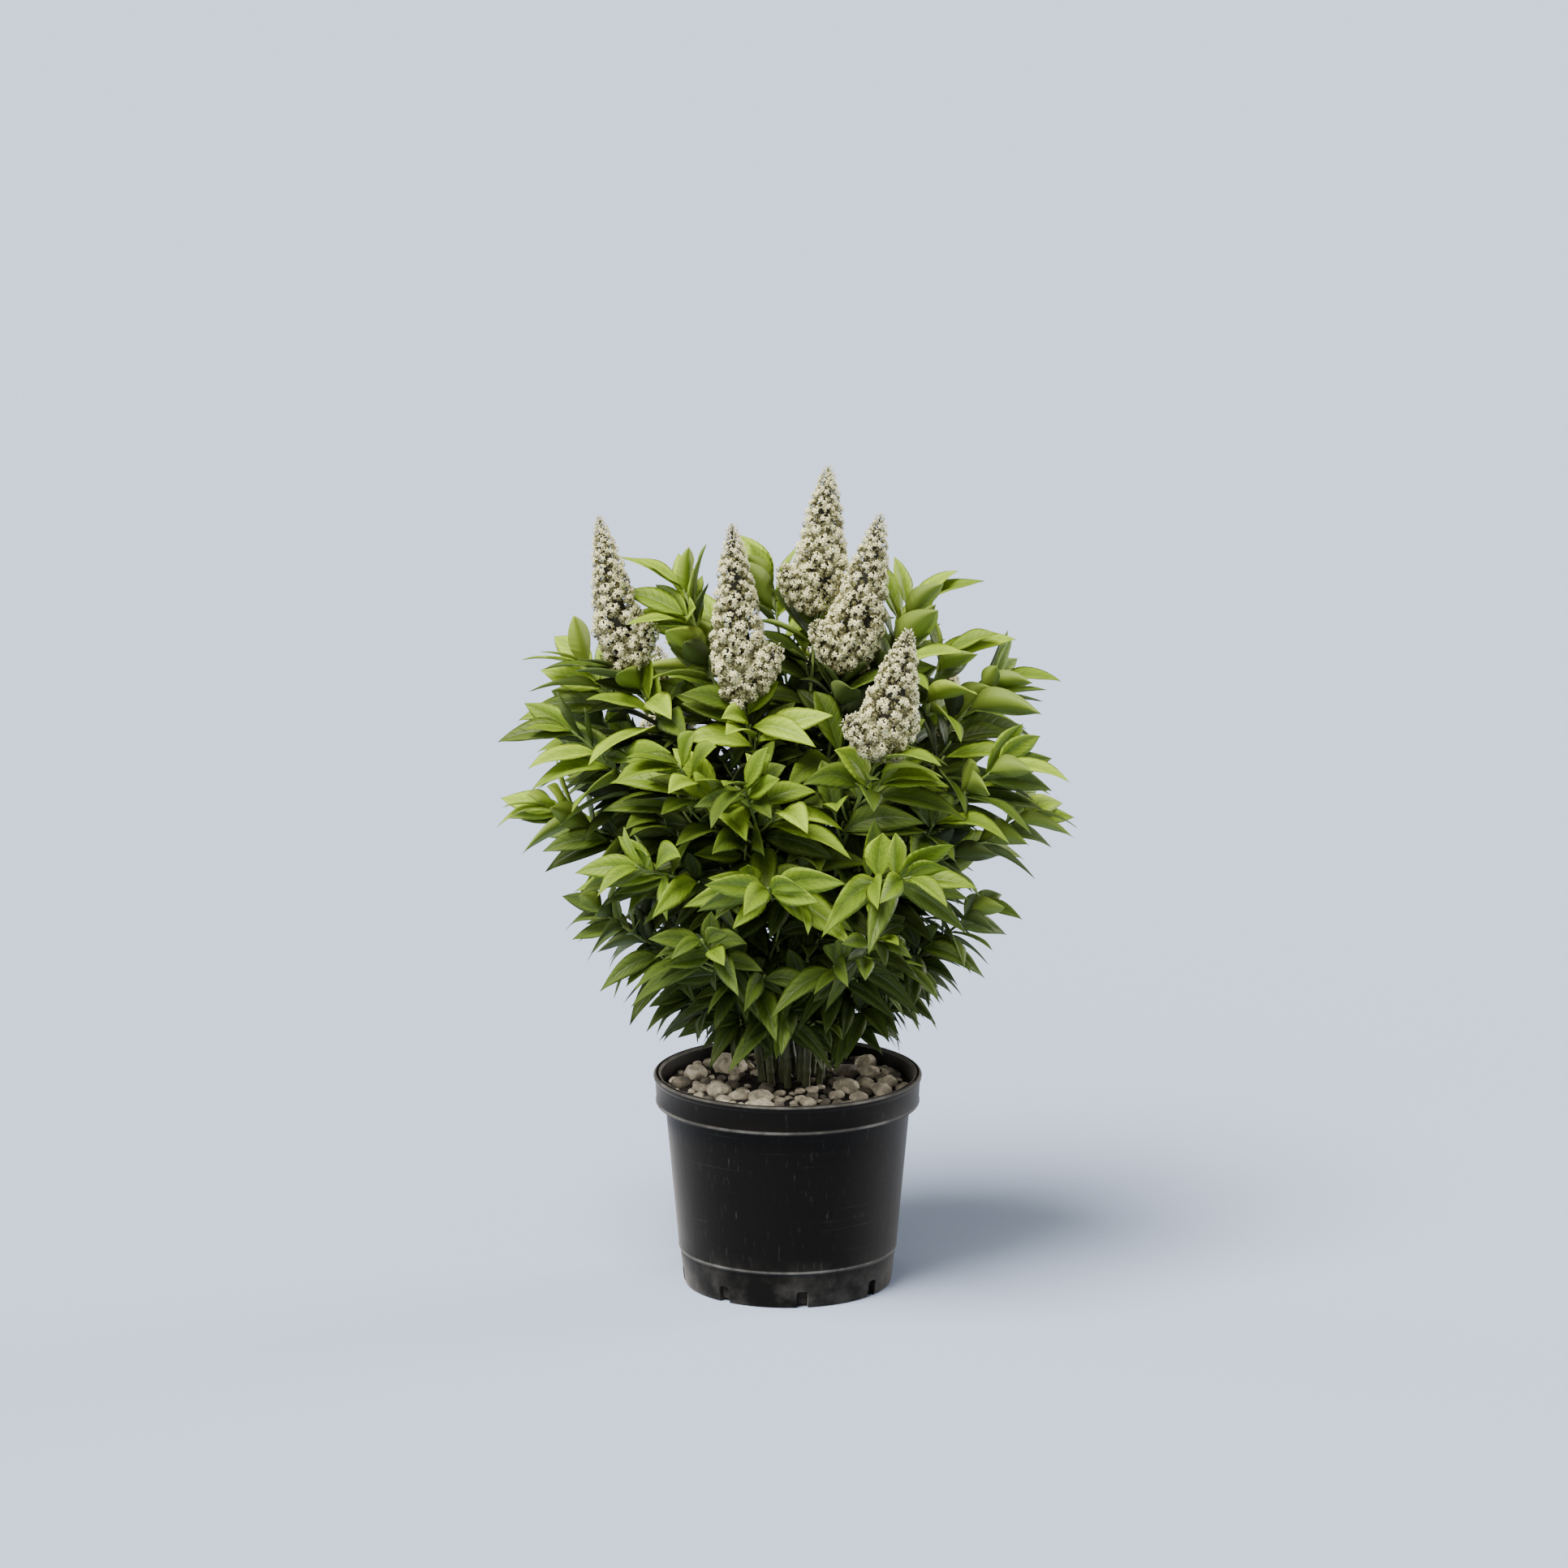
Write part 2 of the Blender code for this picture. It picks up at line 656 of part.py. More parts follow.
def leaf_mesh(leaf, spare=0.0):
    """A closed blade: three-sided sections, one on a small leaf, between its root and a pointed tip."""
    form = bmesh.new()
    root = form.verts.new(leaf.root)
    tip = form.verts.new(spine(leaf, 1) + leaf.along * spare)
    across = leaf.along.cross(leaf.face).normalized()
    rings = []
    for share, fullness in SMALL_LEAF_SECTIONS if leaf.length < SMALL_LEAF else LEAF_SECTIONS:
        centre = spine(leaf, share)
        heading = (leaf.along - UP * (2 * leaf.droop * share)).normalized()
        above = across.cross(heading).normalized()
        half = across * (leaf.length * LEAF_WIDTH * fullness / 2 + spare)
        rise = above * (leaf.length * LEAF_WIDTH * LEAF_FOLD * fullness + spare)
        keel = above * (leaf.length * LEAF_THICKNESS * fullness + spare)
        corners = (centre + half + rise, centre - half + rise, centre - keel)
        rings.append([form.verts.new(corner) for corner in corners])
    for a, b in ((0, 1), (1, 2), (2, 0)):
        form.faces.new((root, rings[0][a], rings[0][b]))
        form.faces.new((rings[-1][a], tip, rings[-1][b]))
        for first, second in zip(rings, rings[1:]):
            form.faces.new((first[a], second[a], second[b]))
            form.faces.new((first[a], second[b], first[b]))
    bmesh.ops.recalc_face_normals(form, faces=form.faces)
    return mesh_of(form, "leaf")


def inside_crown(leaf):
    tip = spine(leaf, 1)
    rise = height_above_rim(tip)
    return rise > CROWN_SKIRT and math.hypot(tip.x, tip.y) <= between(CROWN_OUTLINE, rise)


def swung(leaf, size, swing):
    """The leaf at another size, and turned about its twig."""
    turn = Quaternion(leaf.heading, swing)
    return leaf._replace(along=turn @ leaf.along, face=turn @ leaf.face, length=leaf.length * size)


def grow_leaves(mass, order, twig, first):
    """Leaves spiral up a twig by the golden angle and close towards its tip. The last one points outwards."""
    count = max(4, round(twig.length(first) / mass.spacing))
    for index in range(count):
        draw = seeded(mass.name, order, "leaf", index)
        share = 1 - (1 - first) * ((count - index - 0.5) / count) ** TIP_CROWDING
        root, heading = twig.at(share), twig.heading(share)
        outward = Vector((root.x, root.y, 0)).normalized()
        side = (outward - heading * outward.dot(heading)).normalized()
        turn = GOLDEN_ANGLE * (count - 1 - index) + draw.uniform(-0.2, 0.2)
        side.rotate(Quaternion(heading, turn + LEAF_SIDEWAYS / 2 * math.sin(2 * turn)))
        opening = LEAF_OPEN + (LEAF_CLOSED - LEAF_OPEN) * share**4 + draw.uniform(-0.12, 0.12)
        along = (heading * math.cos(opening) + side * math.sin(opening)).normalized()
        along = Vector((along.x, along.y * FRONT_REACH, along.z)).normalized()
        rise = height_above_rim(root)
        lowest = between(LEAF_LOWEST_PITCHES, rise)
        if along.z < lowest:
            along = (along + UP * (lowest - along.z)).normalized()
        inward = -along.dot(outward)
        length = between(LEAF_LENGTHS, rise) * draw.uniform(0.88, 1.1)
        length *= 1 - LEAF_TIP_SHORTENING * share**3
        droop = between(LEAF_DROOPS, rise) * mass.droop**0.5 * draw.uniform(0.75, 1.25)
        if inward > INWARD:
            length *= INNER_LEAF_SIZE
            if draw.random() < INNER_LEAVES_MISSING:
                continue
        open_side = Vector((root.x, root.y - LIGHT_DEPTH, 0)).normalized()
        light = UP * LIGHT_FROM_ABOVE + open_side * LIGHT_FROM_OUTSIDE
        face = heading * math.sin(opening) - side * math.cos(opening) + light
        face = (face - along * face.dot(along)).normalized()
        face.rotate(Quaternion(along, draw.uniform(-LEAF_ROLL, LEAF_ROLL)))
        mass.leaves.append(Leaf(mass, root, heading, along, face, length, droop))


def tree_of(*meshes):
    """The faces of one or more meshes, ready for a test of what they touch."""
    points, faces = [], []
    for mesh in meshes:
        faces += [tuple(i + len(points) for i in p.vertices) for p in mesh.polygons]
        points += [v.co.copy() for v in mesh.vertices]
    return BVHTree.FromPolygons(points, faces)


def choose_leaves(masses, solids, twig_trees):
    """Keeps each leaf that stays in the crown and clear of every other mass and limb, outermost first."""
    heart = Vector((0, 0, CROWN_MIDDLE))
    wanted = [leaf for mass in masses for leaf in mass.leaves]
    wanted.sort(key=lambda leaf: -(spine(leaf, 1) - heart).length)
    kept, placed = {mass.name: [] for mass in masses}, []
    for leaf in wanted:
        name = leaf.mass.name
        limbs_of_others = [tree for other, tree in twig_trees.items() if other != name]
        for size, swing in LEAF_TRIES:
            tried = swung(leaf, size, swing)
            if not inside_crown(tried):
                continue
            tree = tree_of(leaf_mesh(tried, LEAF_CLEARANCE))
            middle, reach = spine(tried, 0.5), tried.length * 0.6
            near = (other for other, place, far in placed if (place - middle).length < far + reach)
            if any(tree.overlap(other) for other in chain(solids, limbs_of_others, near)):
                continue
            placed.append((tree, middle, reach))
            kept[name].append(tried)
            break
    return kept


def largest_shell(mesh):
    """Keeps the outer skin: a hollow that the fusing sealed is filled, and a loose scrap is dropped."""
    form = bmesh.new()
    form.from_mesh(mesh)
    bmesh.ops.triangulate(form, faces=form.faces)
    left, shells = set(form.faces), []
    while left:
        stack = [left.pop()]
        shell = list(stack)
        while stack:
            for edge in stack.pop().edges:
                for face in edge.link_faces:
                    if face in left:
                        left.remove(face)
                        stack.append(face)
                        shell.append(face)
        shells.append(shell)
    shells.sort(key=len)
    for shell in shells[:-1]:
        bmesh.ops.delete(form, geom=shell, context="FACES")
    form.to_mesh(mesh)
    form.free()
    return mesh


def twig_meshes(mass):
    made = []
    for order, (twig, _) in enumerate(mass.twigs):
        made.append(limb_mesh(f"twig_{order}", twig, count=STEM_POINTS if order == 0 else TWIG_POINTS))
    return made


def is_closed(mesh):
    """Whether each edge has two faces, with points nearer than a tenth of a micrometre taken as one."""
    mesh.calc_loop_triangles()
    names = [tuple(round(c * 1e7) for c in vert.co) for vert in mesh.vertices]
    edges = {}
    for triangle_face in mesh.loop_triangles:
        corners = [names[i] for i in triangle_face.vertices]
        if len(set(corners)) < 3:
            continue
        for a, b in zip(corners, corners[1:] + corners[:1]):
            pair = (min(a, b), max(a, b))
            edges[pair] = edges.get(pair, 0) + 1
    return all(count == 2 for count in edges.values())


def fuse(base_mesh, other_meshes, finish):
    """Joins shapes into one closed skin, by the second solver where the first leaves it open."""
    for solver in ("EXACT", "MANIFOLD"):
        base = add_mesh("base", base_mesh.copy(), helpers, finish)
        others = new_operands("others", [mesh.copy() for mesh in other_meshes])
        mesh = largest_shell(join_or_cut(base, others, "UNION", solver))
        bpy.data.objects.remove(base)
        if is_closed(mesh):
            break
    return mesh


def make_mass(mass, twigs, leaves):
    """A mass that won't fuse gets one leaf fewer, the innermost, until it does."""
    blades = [leaf_mesh(leaf) for leaf in leaves]
    mesh = fuse(twigs[0], twigs[1:] + blades, "foliage")
    while not is_closed(mesh):
        blades.pop()
        mesh = fuse(twigs[0], twigs[1:] + blades, "foliage")
    return add_mesh(f"foliage_{mass.name}", mesh, plant, "foliage")


# Blossom


def lumpy_cone(name, foot, top, half_width, taper, sides, rings):
    """A closed cone of blossom: its rings swell and pinch by turns, so that it stands out in clumps."""
    form = bmesh.new()
    axis = top - foot
    turn = axis.to_track_quat("Z", "Y")
    draw = seeded(name)
    loops = []
    for ring in range(rings):
        share = (ring + 0.15) / rings
        width = half_width * spike_fullness(share, taper)
        loop = []
        for side in range(sides):
            swell = 1 if (ring + side) % 2 else CLUMP_PINCH
            out = radial(math.tau * side / sides) * (width * swell * draw.uniform(0.92, 1.08))
            out.rotate(turn)
            loop.append(form.verts.new(foot + axis * share + out))
        loops.append(loop)
    below, above = form.verts.new(foot), form.verts.new(top)
    for side in range(sides):
        after = (side + 1) % sides
        form.faces.new((below, loops[0][after], loops[0][side]))
        form.faces.new((above, loops[-1][side], loops[-1][after]))
        for ring, (low, high) in enumerate(zip(loops, loops[1:])):
            corners = [low[side], low[after], high[after], high[side]]
            if (ring + side) % 2:
                corners = corners[1:] + corners[:1]
            form.faces.new(corners[:3])
            form.faces.new((corners[0], corners[2], corners[3]))
    bmesh.ops.recalc_face_normals(form, faces=form.faces)
    return mesh_of(form, name)


def spike_fullness(share, taper):
    """A spike's half width at a share of its height: fullest at a third, then drawn out to a point."""
    return math.sin(math.pi * min(share + 0.16, 0.5)) * (1 - 1.25 * max(share - 0.2, 0)) ** taper


def make_spike(name, limb):
    """A stalk and a cone of clumped florets on it, with a smaller cone low on one side."""
    spike = SPIKES[name]
    foot, top = limb.tip, limb.tip + Vector((spike.lean, spike.tilt, spike.length))
    heading = (top - foot).normalized()
    foot = foot + heading * clear_of(0, limb.heading(1), heading, limb.thin)
    cone_foot = foot.lerp(top, SPIKE_STALK / spike.length)
    inside = foot.lerp(top, STALK_REACH)
    stalk = Limb(foot, foot.lerp(inside, 0.5), inside, limb.thin, TWIG_TIP_THICKNESS)
    cone = lumpy_cone(f"cone_{name}", cone_foot, top, spike.half_width, SPIKE_TAPER, CONE_SIDES, CONE_RINGS)
    wing_foot = foot.lerp(top, 0.04)
    out = Vector((spike.wing, -WING_FORWARD, 0)).normalized() * spike.half_width
    wing_top = wing_foot + out * WING_REACH + (top - foot) * WING_RISE
    wing_width = spike.half_width * WING_WIDTH
    wing = lumpy_cone(f"wing_{name}", wing_foot, wing_top, wing_width, WING_TAPER, WING_SIDES, WING_RINGS)
    mesh = fuse(limb_mesh("stalk", stalk, count=3), [cone, wing], "blossom")
    return add_mesh(f"blossom_{name}", mesh, plant, "blossom")


# The whole plant


def make_plant():
    pot, soil, stones = make_pot(), make_soil(), make_stones()
    limbs = cane_limbs()
    canes = [make_cane(name, limb) for name, limb in limbs.items()]
    spikes = [make_spike(name, limbs[name]) for name in SPIKES]
    masses = cane_masses(limbs) + ring_masses(limbs)
    twigs = {mass.name: twig_meshes(mass) for mass in masses}
    for mass in masses:
        for order, (twig, first) in enumerate(mass.twigs):
            grow_leaves(mass, order, twig, first)
    solids = [tree_of(thing.data) for thing in [pot, soil, *stones, *canes, *spikes]]
    twig_trees = {name: tree_of(*meshes) for name, meshes in twigs.items()}
    kept = choose_leaves(masses, solids, twig_trees)
    for mass in masses:
        make_mass(mass, twigs[mass.name], kept[mass.name])


clear_scene()
plant = new_collection("potted_cherry_laurel")
helpers = new_collection("helpers")
triangle = make_triangle()
make_plant()
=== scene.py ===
"""A potted cherry laurel in flower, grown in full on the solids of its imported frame.

Each leafy mass is grown again by the source's rule and carried to finer twigs. Leaves, twigs, florets,
compost and pebbles are joined, each kind apart. Metres, +Z up, front towards -Y.
"""

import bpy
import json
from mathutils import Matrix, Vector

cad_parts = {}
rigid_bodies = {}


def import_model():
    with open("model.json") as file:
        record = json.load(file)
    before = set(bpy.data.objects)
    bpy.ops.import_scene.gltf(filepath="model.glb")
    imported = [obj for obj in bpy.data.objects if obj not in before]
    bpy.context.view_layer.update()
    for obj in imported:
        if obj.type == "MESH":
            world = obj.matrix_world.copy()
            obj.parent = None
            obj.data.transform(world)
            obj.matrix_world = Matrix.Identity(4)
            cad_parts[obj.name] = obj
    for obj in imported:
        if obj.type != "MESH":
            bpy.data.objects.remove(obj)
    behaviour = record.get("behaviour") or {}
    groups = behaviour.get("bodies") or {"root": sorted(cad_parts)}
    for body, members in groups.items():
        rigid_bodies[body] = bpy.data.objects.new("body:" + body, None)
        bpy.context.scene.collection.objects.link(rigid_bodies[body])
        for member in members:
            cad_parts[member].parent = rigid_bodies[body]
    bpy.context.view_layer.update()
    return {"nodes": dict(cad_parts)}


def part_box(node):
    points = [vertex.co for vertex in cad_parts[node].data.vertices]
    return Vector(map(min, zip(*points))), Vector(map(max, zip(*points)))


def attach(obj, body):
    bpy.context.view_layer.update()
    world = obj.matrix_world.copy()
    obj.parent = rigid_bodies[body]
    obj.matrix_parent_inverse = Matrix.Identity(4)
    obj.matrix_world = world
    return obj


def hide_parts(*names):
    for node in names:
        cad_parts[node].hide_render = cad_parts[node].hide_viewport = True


bl_info = {
    "name": "Potted Cherry Laurel",
    "version": (1, 0, 0),
    "blender": (4, 5, 0),
    "location": "3D View > Sidebar > Laurel",
    "description": "Grows a flowering cherry laurel in its nursery pot",
    "category": "Add Mesh",
}

import functools
import json
import math
import random
from collections import namedtuple
from itertools import chain

import bmesh
import bpy
import numpy as np
from bpy.props import FloatProperty, FloatVectorProperty, IntProperty, PointerProperty
from mathutils import Matrix, Quaternion, Vector, noise
from mathutils.bvhtree import BVHTree

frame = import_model()
POT_LOW, POT_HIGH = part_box("pot")
SOIL_LOW, SOIL_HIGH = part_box("soil")

UP = Vector((0, 0, 1))
GAP = 0.0003
GOLDEN_ANGLE = math.radians(137.5)
BAKE_CHART = "OFBake"  # the name of the chart (UV map) that every joined piece carries
PHOTO_SIDE = 1932

# Pot
COLLAR_HEIGHT = 0.032
COLLAR_FOOT_RADIUS = 0.1366
BODY_TOP_RADIUS = 0.1275
GROOVE_HEIGHT = 0.036
GROOVE_RADIUS = 0.1125
FOOT_RADIUS = 0.1085
LIP_WIDTH = 0.008
WALL = 0.0030
POT_STEPS = 144
SLOT_COUNT = 8
SLOT_WIDTH = 0.012
SLOT_HEIGHT = 0.018
SLOT_FIRST_ANGLE = math.radians(-37)
SHEEN = (1.0, 0.90, 0.78)
WORN_AND_HIGHLIT_EDGES = ((0.2238, 0.0016), (0.1960, 0.0020), (0.0395, 0.0018))  # heights of pale lines, and half their widths: partly edge wear, partly painted highlights along the lip, collar foot and groove

# Soil and stones, as the source has them
SOIL_HEIGHT = 0.213
STONE_LENGTH = 1.12
STONE_WIDTH = 0.94
STONE_LIFT = 0.22
Stone = namedtuple("Stone", "across depth radius squash turn")
STONES = (
    Stone(-0.060, 0.052, 0.0175, 0.72, 0.4),
    Stone(-0.096, 0.026, 0.0130, 0.70, 1.3),
    Stone(-0.071, -0.040, 0.0125, 0.66, 2.2),
    Stone(-0.028, -0.066, 0.0120, 0.70, 0.9),
    Stone(0.062, -0.030, 0.0125, 0.74, 2.7),
    Stone(0.086, 0.030, 0.0110, 0.70, 0.2),
)

# Crown, as the source has it: radius of its outline at heights above the rim
CROWN_OUTLINE = (
    (0.00, 0.150),
    (0.07, 0.195),
    (0.19, 0.255),
    (0.27, 0.306),
    (0.36, 0.312),
    (0.46, 0.280),
    (0.54, 0.185),
    (0.60, 0.090),
)
CROWN_MIDDLE = POT_HIGH.z + 0.25
CROWN_SKIRT = 0.028
Cane = namedtuple("Cane", "across depth rise beside")
CANES = {
    "left_flower": Cane(-0.166, 0.000, 0.428, (-0.212, 0.030, 0.432)),
    "middle_flower": Cane(-0.048, -0.060, 0.412, (-0.108, 0.018, 0.515)),
    "tall_flower": Cane(0.030, 0.030, 0.486, (-0.016, 0.070, 0.506)),
    "right_flower": Cane(0.060, 0.000, 0.430, (0.128, 0.035, 0.495)),
    "front_flower": Cane(0.095, -0.120, 0.368, (0.125, -0.185, 0.255)),
    "back_left_flower": Cane(-0.120, 0.150, 0.290, (-0.070, 0.118, 0.435)),
    "back_flower": Cane(0.020, 0.200, 0.280, (0.048, 0.135, 0.450)),
    "back_right_flower": Cane(0.155, 0.132, 0.285, (0.112, 0.100, 0.440)),
    "left": Cane(-0.222, -0.045, 0.375, (-0.248, -0.010, 0.288)),
    "back_left": Cane(-0.208, 0.092, 0.365, (-0.190, 0.150, 0.275)),
    "right": Cane(0.218, 0.030, 0.415, (0.162, 0.020, 0.442)),
    "front_right": Cane(0.222, -0.060, 0.345, (0.252, -0.005, 0.280)),
    "front_left": Cane(-0.112, -0.140, 0.362, (-0.155, -0.165, 0.262)),
    "front": Cane(-0.045, -0.170, 0.345, (-0.020, -0.210, 0.250)),
}
INNER_CANES = ("middle_flower", "tall_flower", "right_flower", "back_flower")
INNER_FOOT_RADIUS = 0.013
OUTER_FOOT_RADIUS = 0.031
CANE_MIDDLE = Vector((0.004, 0.008, 0))
CANE_LEAN = 0.16
CANE_TURN = 0.64
CANE_FOOT_THICKNESS = 0.0046
CANE_THICKNESS = 0.0034
CANE_FORK = 0.30
TWIG_THICKNESS = 0.0028
TWIG_TIP_THICKNESS = 0.0013
FLOWERING_TIP_THICKNESS = 0.0017
FLARE_HEIGHT = 0.010
RING_STEM_RISE = 0.34
Ring = namedtuple("Ring", "count first_turn radius rise leaves_cane droop")
RINGS = {
    "waist": Ring(7, math.radians(-64), 0.205, 0.190, 0.22, 0.35),
    "skirt": Ring(7, math.radians(-90), 0.130, 0.105, 0.13, 0.30),
}

# Leaves and twigs, as the source has them
LEAF_LENGTHS = (
    (0.05, 0.060),
    (0.13, 0.076),
    (0.22, 0.106),
    (0.36, 0.122),
    (0.46, 0.114),
    (0.55, 0.098),
)
LEAF_DROOPS = ((0.03, 0.62), (0.15, 0.52), (0.30, 0.42), (0.42, 0.28), (0.52, 0.14))
LEAF_LOWEST_PITCHES = ((0.05, -0.20), (0.15, 0.10), (0.30, 0.22), (0.45, 0.36))
LEAF_SPACING = 0.0312
RING_LEAF_SPACING = 0.0262
LEAF_OPEN = math.radians(68)
LEAF_CLOSED = math.radians(28)
LEAF_SIDEWAYS = 0.30
FRONT_REACH = 0.65
TIP_CROWDING = 1.3
LEAF_TIP_SHORTENING = 0.22
INWARD = 0.3
INNER_LEAF_SIZE = 0.8
INNER_LEAVES_MISSING = 0.8
LIGHT_FROM_ABOVE = 0.4
LIGHT_FROM_OUTSIDE = 0.8
LEAF_ROLL = math.radians(24)
LIGHT_DEPTH = 0.07
LEAF_TRIES = tuple((size, math.radians(swing)) for size in (1.0, 0.84, 0.7) for swing in (0, 24, -24))
LEAF_CLEARANCE = 0.0009
LEAF_THICKNESS = 0.021
LEAF_FOLD = 0.10
LEAF_BREADTHS = ((0.045, 1.14), (0.110, 0.93))  # short leaves are broader for their length
LEAF_SECTIONS = ((0.33, 1.0), (0.70, 0.74))
SIDE_TWIGS = ((0.28, 1), (0.50, -1), (0.70, 1))
RING_SIDE_TWIGS = 2
SIDE_TWIG_SWING = math.radians(52)
SIDE_TWIG_LENGTH = 0.48
SIDE_TWIG_CLIMB = 0.75
SIDE_TWIG_SAG = 0.10
SIDE_TWIG_THICKNESS = 0.78
BESIDE_FORK = 0.35
BESIDE_BOW = 0.012
STEM_BARE = 0.04
SIDE_TWIG_BARE = 0.30
BESIDE_BARE = 0.25

# Finer growth than the source's
FINE_TWIGS = ((0.20, -1), (0.38, 1), (0.60, -1), (0.82, 1))
FINE_TWIG_LENGTH = 0.42
FINE_SPACING = 0.0150
FINE_LEAF_SIZE = 0.82
LOW_TWIGS = ((0.12, -1), (0.17, 1), (0.22, -1), (0.27, 1))  # on the canes, below where they fork
LOW_TWIG_LENGTH = 0.28
INNER_SPACING = 0.0104
INNER_FILL_SIZE = 0.80
INNER_DROOP = 0.45
INNER_TRIES = ((1.0, 0.0), (0.8, math.radians(35)))

# Blossom
Spike = namedtuple("Spike", "lean tilt length half_width wing")
SPIKES = {
    "left_flower": Spike(-0.028, 0.000, 0.163, 0.030, 1),
    "middle_flower": Spike(-0.009, 0.000, 0.184, 0.034, 1),
    "tall_flower": Spike(0.012, 0.000, 0.151, 0.034, -1),
    "right_flower": Spike(0.036, 0.000, 0.163, 0.035, -1),
    "front_flower": Spike(0.028, -0.006, 0.131, 0.035, -1),
    "back_left_flower": Spike(-0.016, 0.030, 0.124, 0.033, 1),
    "back_flower": Spike(0.002, 0.036, 0.126, 0.035, -1),
    "back_right_flower": Spike(0.016, 0.026, 0.118, 0.033, -1),
}
SPIKE_STALK = 0.010
SPIKE_TAPER = 0.62
WING_REACH = 1.30
WING_RISE = 0.27
WING_WIDTH = 0.68
WING_TAPER = 0.35
WING_FORWARD = 0.35
CLUMP_SIZES = (0.0030, 0.0088)
CLUMP_ROOM = 2.75
CLUMPS_HANG = 0.14  # below this share of a spike
PETAL_LIGHT = 0.20  # least turn to the light of a pale floret
SHADE_CORE_WIDTH = 0.40  # of the near-black stalks inside a spike, a dark body as painted shade between the clumps, as a share of its width

# A leaf's outline: half width at places along it, as shares of its greatest half width
LEAF_OUTLINE = (
    (0.000, 0.030),
    (0.055, 0.050),
    (0.090, 0.160),
    (0.160, 0.480),
    (0.260, 0.800),
    (0.380, 0.975),
    (0.480, 1.000),
    (0.600, 0.920),
    (0.720, 0.720),
    (0.820, 0.480),
    (0.900, 0.260),
    (0.960, 0.090),
    (1.000, 0.000),
)
BLADE_ROWS = 16  # two for each pair of side veins
BLADE_COLUMNS = (-1.0, -0.64, -0.30, -0.055, 0.055, 0.30, 0.64, 1.0)
PLAIN_BLADE_ROWS = 8
PLAIN_BLADE_COLUMNS = (-1.0, -0.50, -0.055, 0.055, 0.50, 1.0)
VEIN_SLANT = 0.17
# The greens run from lit to shaded: partly the leaves' own tones, as young and sun leaves are paler, partly painted
# light and shade
GREENS_LIT_TO_SHADED = ("young", "bright", "mid", "deep")
LEAF_SHEEN = (1.0, 0.97, 0.72)
LEAST_SKY_OF_LIGHTER_GREENS = (0.80, 0.62, 0.36)  # least openness of the first three: more sky gives a lighter green, as painted light
PALEST_GREEN_ABOVE = 0.28  # height over the rim below which no leaf is young: the palest green, partly painted light, stays on the top of the crown
SKY_RAYS = tuple((rise, swing) for rise in (12, 38, 64) for swing in (-50, 0, 50)) + ((90, 0),)


# Settings that a user would change


def size_setting(name, description, default):
    return FloatProperty(name=name, description=description, default=default, min=0, unit="LENGTH", precision=4)


def share_setting(name, description, default):
    return FloatProperty(name=name, description=description, default=default, min=0, max=1, subtype="FACTOR")


def colour_setting(name, description, default):
    return FloatVectorProperty(name=name, description=description, default=default, size=3, min=0, max=1, subtype="COLOR")


class LaurelPotSettings(bpy.types.PropertyGroup):
    rim_radius: size_setting("Rim radius", "Outer radius of the rolled rim", POT_HIGH.x)
    height: size_setting("Height", "Height of the pot over all", POT_HIGH.z)
    colour: colour_setting("Plastic", "Colour of the moulded plastic", (0.0020, 0.0018, 0.0016))
    # The dust colour also paints the pale edge lines and scrapes, which are partly painted highlights
    dust: colour_setting("Dust", "Colour of the dust and scuffs on it", (0.16, 0.15, 0.13))
    roughness: share_setting("Roughness", "Roughness of the clean plastic", 0.42)


class LaurelSoilSettings(bpy.types.PropertyGroup):
    compost: colour_setting("Compost", "Colour of the moist compost", (0.016, 0.012, 0.008))
    pebble: colour_setting("Pebble", "Colour of the lighter pebbles", (0.69, 0.595, 0.435))
    dark_pebble: colour_setting("Dark pebble", "Colour of the darker pebbles", (0.21, 0.178, 0.128))
    pebble_count: IntProperty(name="Pebbles", description="Number of small pebbles on the soil", default=150, min=0)


class LaurelCaneSettings(bpy.types.PropertyGroup):
    bark: colour_setting("Bark", "Colour of the lower canes", (0.080, 0.090, 0.027))
    shoot: colour_setting("Shoot", "Colour of the young shoots", (0.150, 0.215, 0.036))


class LaurelLeafSettings(bpy.types.PropertyGroup):
    width: share_setting("Width", "Width of a leaf as a share of its length", 0.335)
    # The greens are dealt out by how much sky a leaf sees and by its height: partly the leaves' own, partly painted
    # light and shade
    young: colour_setting("Young", "Leaves at the tips of the crown", (0.35, 0.485, 0.031))
    bright: colour_setting("Bright", "Leaves on the outer sprays", (0.195, 0.288, 0.018))
    mid: colour_setting("Mid", "Leaves on the middle sprays", (0.086, 0.132, 0.012))
    deep: colour_setting("Deep", "Leaves deep in the crown", (0.038, 0.058, 0.0070))
    roughness: share_setting("Roughness", "Roughness of the upper side", 0.42)


class LaurelBlossomSettings(bpy.types.PropertyGroup):
    petal: colour_setting("Petal", "Colour of the open petals", (0.93, 0.88, 0.52))
    shaded: colour_setting("Shaded petal", "Colour of the petals that face away from the light", (0.22, 0.20, 0.088))
    bud: colour_setting("Bud", "Colour of the closed buds", (0.62, 0.57, 0.38))
    heart: colour_setting("Heart", "Colour of the floret's middle", (0.45, 0.42, 0.14))
    floret: size_setting("Floret", "Width of an open floret", 0.0082)


class LaurelStageSettings(bpy.types.PropertyGroup):
    floor: colour_setting("Floor", "Colour of the floor", (0.420, 0.494, 0.653))
    light: FloatProperty(name="Light", description="Strength of the key light", default=8.0, min=0)
    lens: FloatProperty(name="Lens", description="Focal length of the camera", default=200, min=1, unit="CAMERA")
    distance: size_setting("Distance", "Distance of the camera", 9.08)
    elevation: FloatProperty(
        name="Elevation", description="Camera's angle above the horizon", default=math.radians(13.5), subtype="ANGLE"
    )


# Growth: the source's rule


